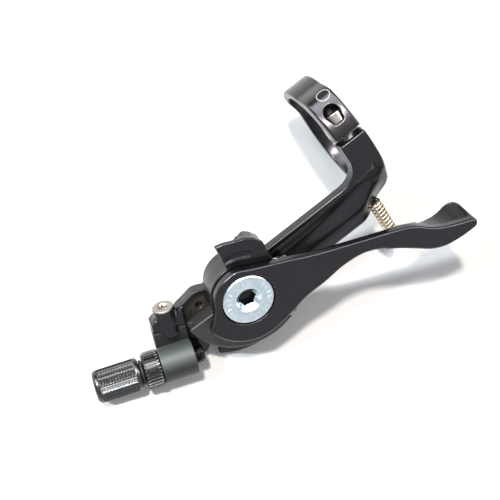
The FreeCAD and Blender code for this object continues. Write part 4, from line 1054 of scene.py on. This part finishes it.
def springs():
    """The gold buffer spring and the end of the trigger's spring beside the hub."""
    wire_radius = 0.25
    length = BUFFER_HIGH[1] - BUFFER_START
    place = frame_along((BUFFER_X, BUFFER_START, BUFFER_Z), (0, 1, 0), (1, 0, 0))
    radius = (BUFFER_HIGH[0] - BUFFER_LOW[0]) / 2 - wire_radius
    points = coil_points(wire_radius, length - wire_radius, radius, 10)
    wire("buffer_spring", points, wire_radius, place, "clamp_and_arm", "gold_wire", "support_spring")
    wire("trigger_spring_leg", smooth_line(LEG), LEG_WIRE, HUB, "trigger", "spring_wire")


casting()
lever()
drum()
trigger()
cap()
screws()
housing()
barrel()
lock_ring()
seal()
springs()


def paint_cad():
    """Give every CAD node that stays in view the look of its slot."""
    looks = {part["node"]: part["material_slot"] for part in frame["record"]["subparts"]}
    for node, piece in frame["nodes"].items():
        look = MATERIALS[looks[node]]
        for spot in piece.material_slots:
            spot.material = look
        if not piece.material_slots:
            piece.data.materials.append(look)


paint_cad()

# ---- stage
FLOOR_NORMAL = Vector((-0.35, -0.528, 0.774)).normalized()
FLOOR_HEIGHT, FLOOR_HALF = -17.8, 1.5
LOOK_AT = Vector((37.2, -2.3, 22.8))
VIEW = {"azimuth": -2.35, "elevation": 57.36, "roll": 143.96, "distance": 175.0, "lens": 50.4}


def floor():
    """A white floor seen from above only, through the three points the shifter rests on."""
    n = Look("floor_white")
    tone = n.ramp(n.noise(0.05, 3.0), [(0.2, colour(0.80)), (0.8, colour(0.84))])
    n.finish(Base_Color=tone, Roughness=0.6, Specular_IOR_Level=0.2)
    clear = n.add("BsdfTransparent")
    behind = n.add("NewGeometry").outputs["Backfacing"]
    choose = n.add("MixShader")
    n.plug(behind, choose.inputs[0])
    n.plug(n.shader.outputs[0], choose.inputs[1])
    n.plug(clear.outputs[0], choose.inputs[2])
    n.plug(choose.outputs[0], n.tree.nodes["Material Output"].inputs["Surface"])
    mesh = bpy.data.meshes.new("floor")
    corners = [(FLOOR_HALF * x, FLOOR_HALF * y, 0) for x, y in ((-1, -1), (1, -1), (1, 1), (-1, 1))]
    mesh.from_pydata(corners, [], [(0, 1, 2, 3)])
    mesh.materials.append(n.material)
    plane = bpy.data.objects.new("floor", mesh)
    bpy.context.scene.collection.objects.link(plane)
    plane.matrix_world = (Matrix.Translation(FLOOR_NORMAL * FLOOR_HEIGHT * MM)
        @ FLOOR_NORMAL.to_track_quat("Z", "Y").to_matrix().to_4x4())


def camera():
    """The photo's view of the part."""
    a, e = math.radians(VIEW["azimuth"]), math.radians(VIEW["elevation"])
    back = Vector((math.sin(a) * math.cos(e), -math.cos(a) * math.cos(e), math.sin(e)))
    data = bpy.data.cameras.new("camera")
    data.sensor_width = 36.0
    data.lens = VIEW["lens"]
    data.clip_start = 0.01
    eye = bpy.data.objects.new("camera", data)
    eye.rotation_mode = "QUATERNION"
    eye.location = (LOOK_AT + back * VIEW["distance"]) * MM
    roll = Matrix.Rotation(math.radians(VIEW["roll"]), 4, "Z").to_quaternion()
    eye.rotation_quaternion = (-back).to_track_quat("-Z", "Y") @ roll
    bpy.context.scene.collection.objects.link(eye)
    bpy.context.scene.camera = eye
    return eye


def light(name, eye, place, size, power, tint):
    """A soft light placed by the camera's own right, up and towards-the-camera directions."""
    data = bpy.data.lights.new(name, "AREA")
    data.shape = "DISK"
    data.size = size
    data.energy = power
    data.color = tint
    lamp = bpy.data.objects.new(name, data)
    turn = eye.rotation_quaternion
    away = turn @ place
    lamp.location = LOOK_AT * MM + away
    lamp.rotation_mode = "QUATERNION"
    lamp.rotation_quaternion = (-away).to_track_quat("-Z", "Y")
    bpy.context.scene.collection.objects.link(lamp)


KEY, FILL = Vector((-0.08, 0.32, 0.76)), Vector((-0.40, 0.20, 0.69))
SKY, GLINT, GLINT_UP = (0.42, 0.85), 11.0, (0.70, 0.71)


def world(eye):
    """A soft sky, brighter overhead, and a bar of light that only shiny surfaces see."""
    scene = bpy.context.scene
    scene.world = bpy.data.worlds.new("studio")
    scene.world.use_nodes = True
    n = Nodes(scene.world.node_tree)
    way = n.add("TexCoord").outputs["Generated"]
    height = n.add("SeparateXYZ", Vector=way).outputs[2]
    sky = n.level(height, *SKY, 0.1, 0.7, "SMOOTHSTEP")

    def facing(direction):
        seen = (eye.rotation_quaternion @ Vector(direction)).normalized()
        return n.maths("DOT_PRODUCT", way, seen, "VectorMath")

    off_bar = n.maths("ABSOLUTE", facing((0.0, GLINT_UP[1], -GLINT_UP[0])))
    above = n.level(facing((0.0,) + GLINT_UP), 0.0, 1.0, 0.35, 0.60, "SMOOTHSTEP")
    glow = n.maths("MULTIPLY", n.level(off_bar, GLINT, 0.0, 0.10, 0.20, "SMOOTHSTEP"), above)
    shiny = n.add("LightPath").outputs["Is Glossy Ray"]
    strength = n.add("Mix", Factor=shiny, A=0.5, B=n.maths("ADD", sky, glow))
    back = n.tree.nodes["Background"]
    n.plug((0.97, 0.97, 1.0, 1.0), back.inputs["Color"])
    n.plug(strength.outputs["Result"], back.inputs["Strength"])
    scene.view_settings.view_transform = "Standard"


floor()
EYE = camera()
world(EYE)
light("key", EYE, KEY, 0.07, 6.5, (1.0, 0.95, 0.88))
light("fill", EYE, FILL, 0.07, 6.0, (0.88, 0.95, 1.0))
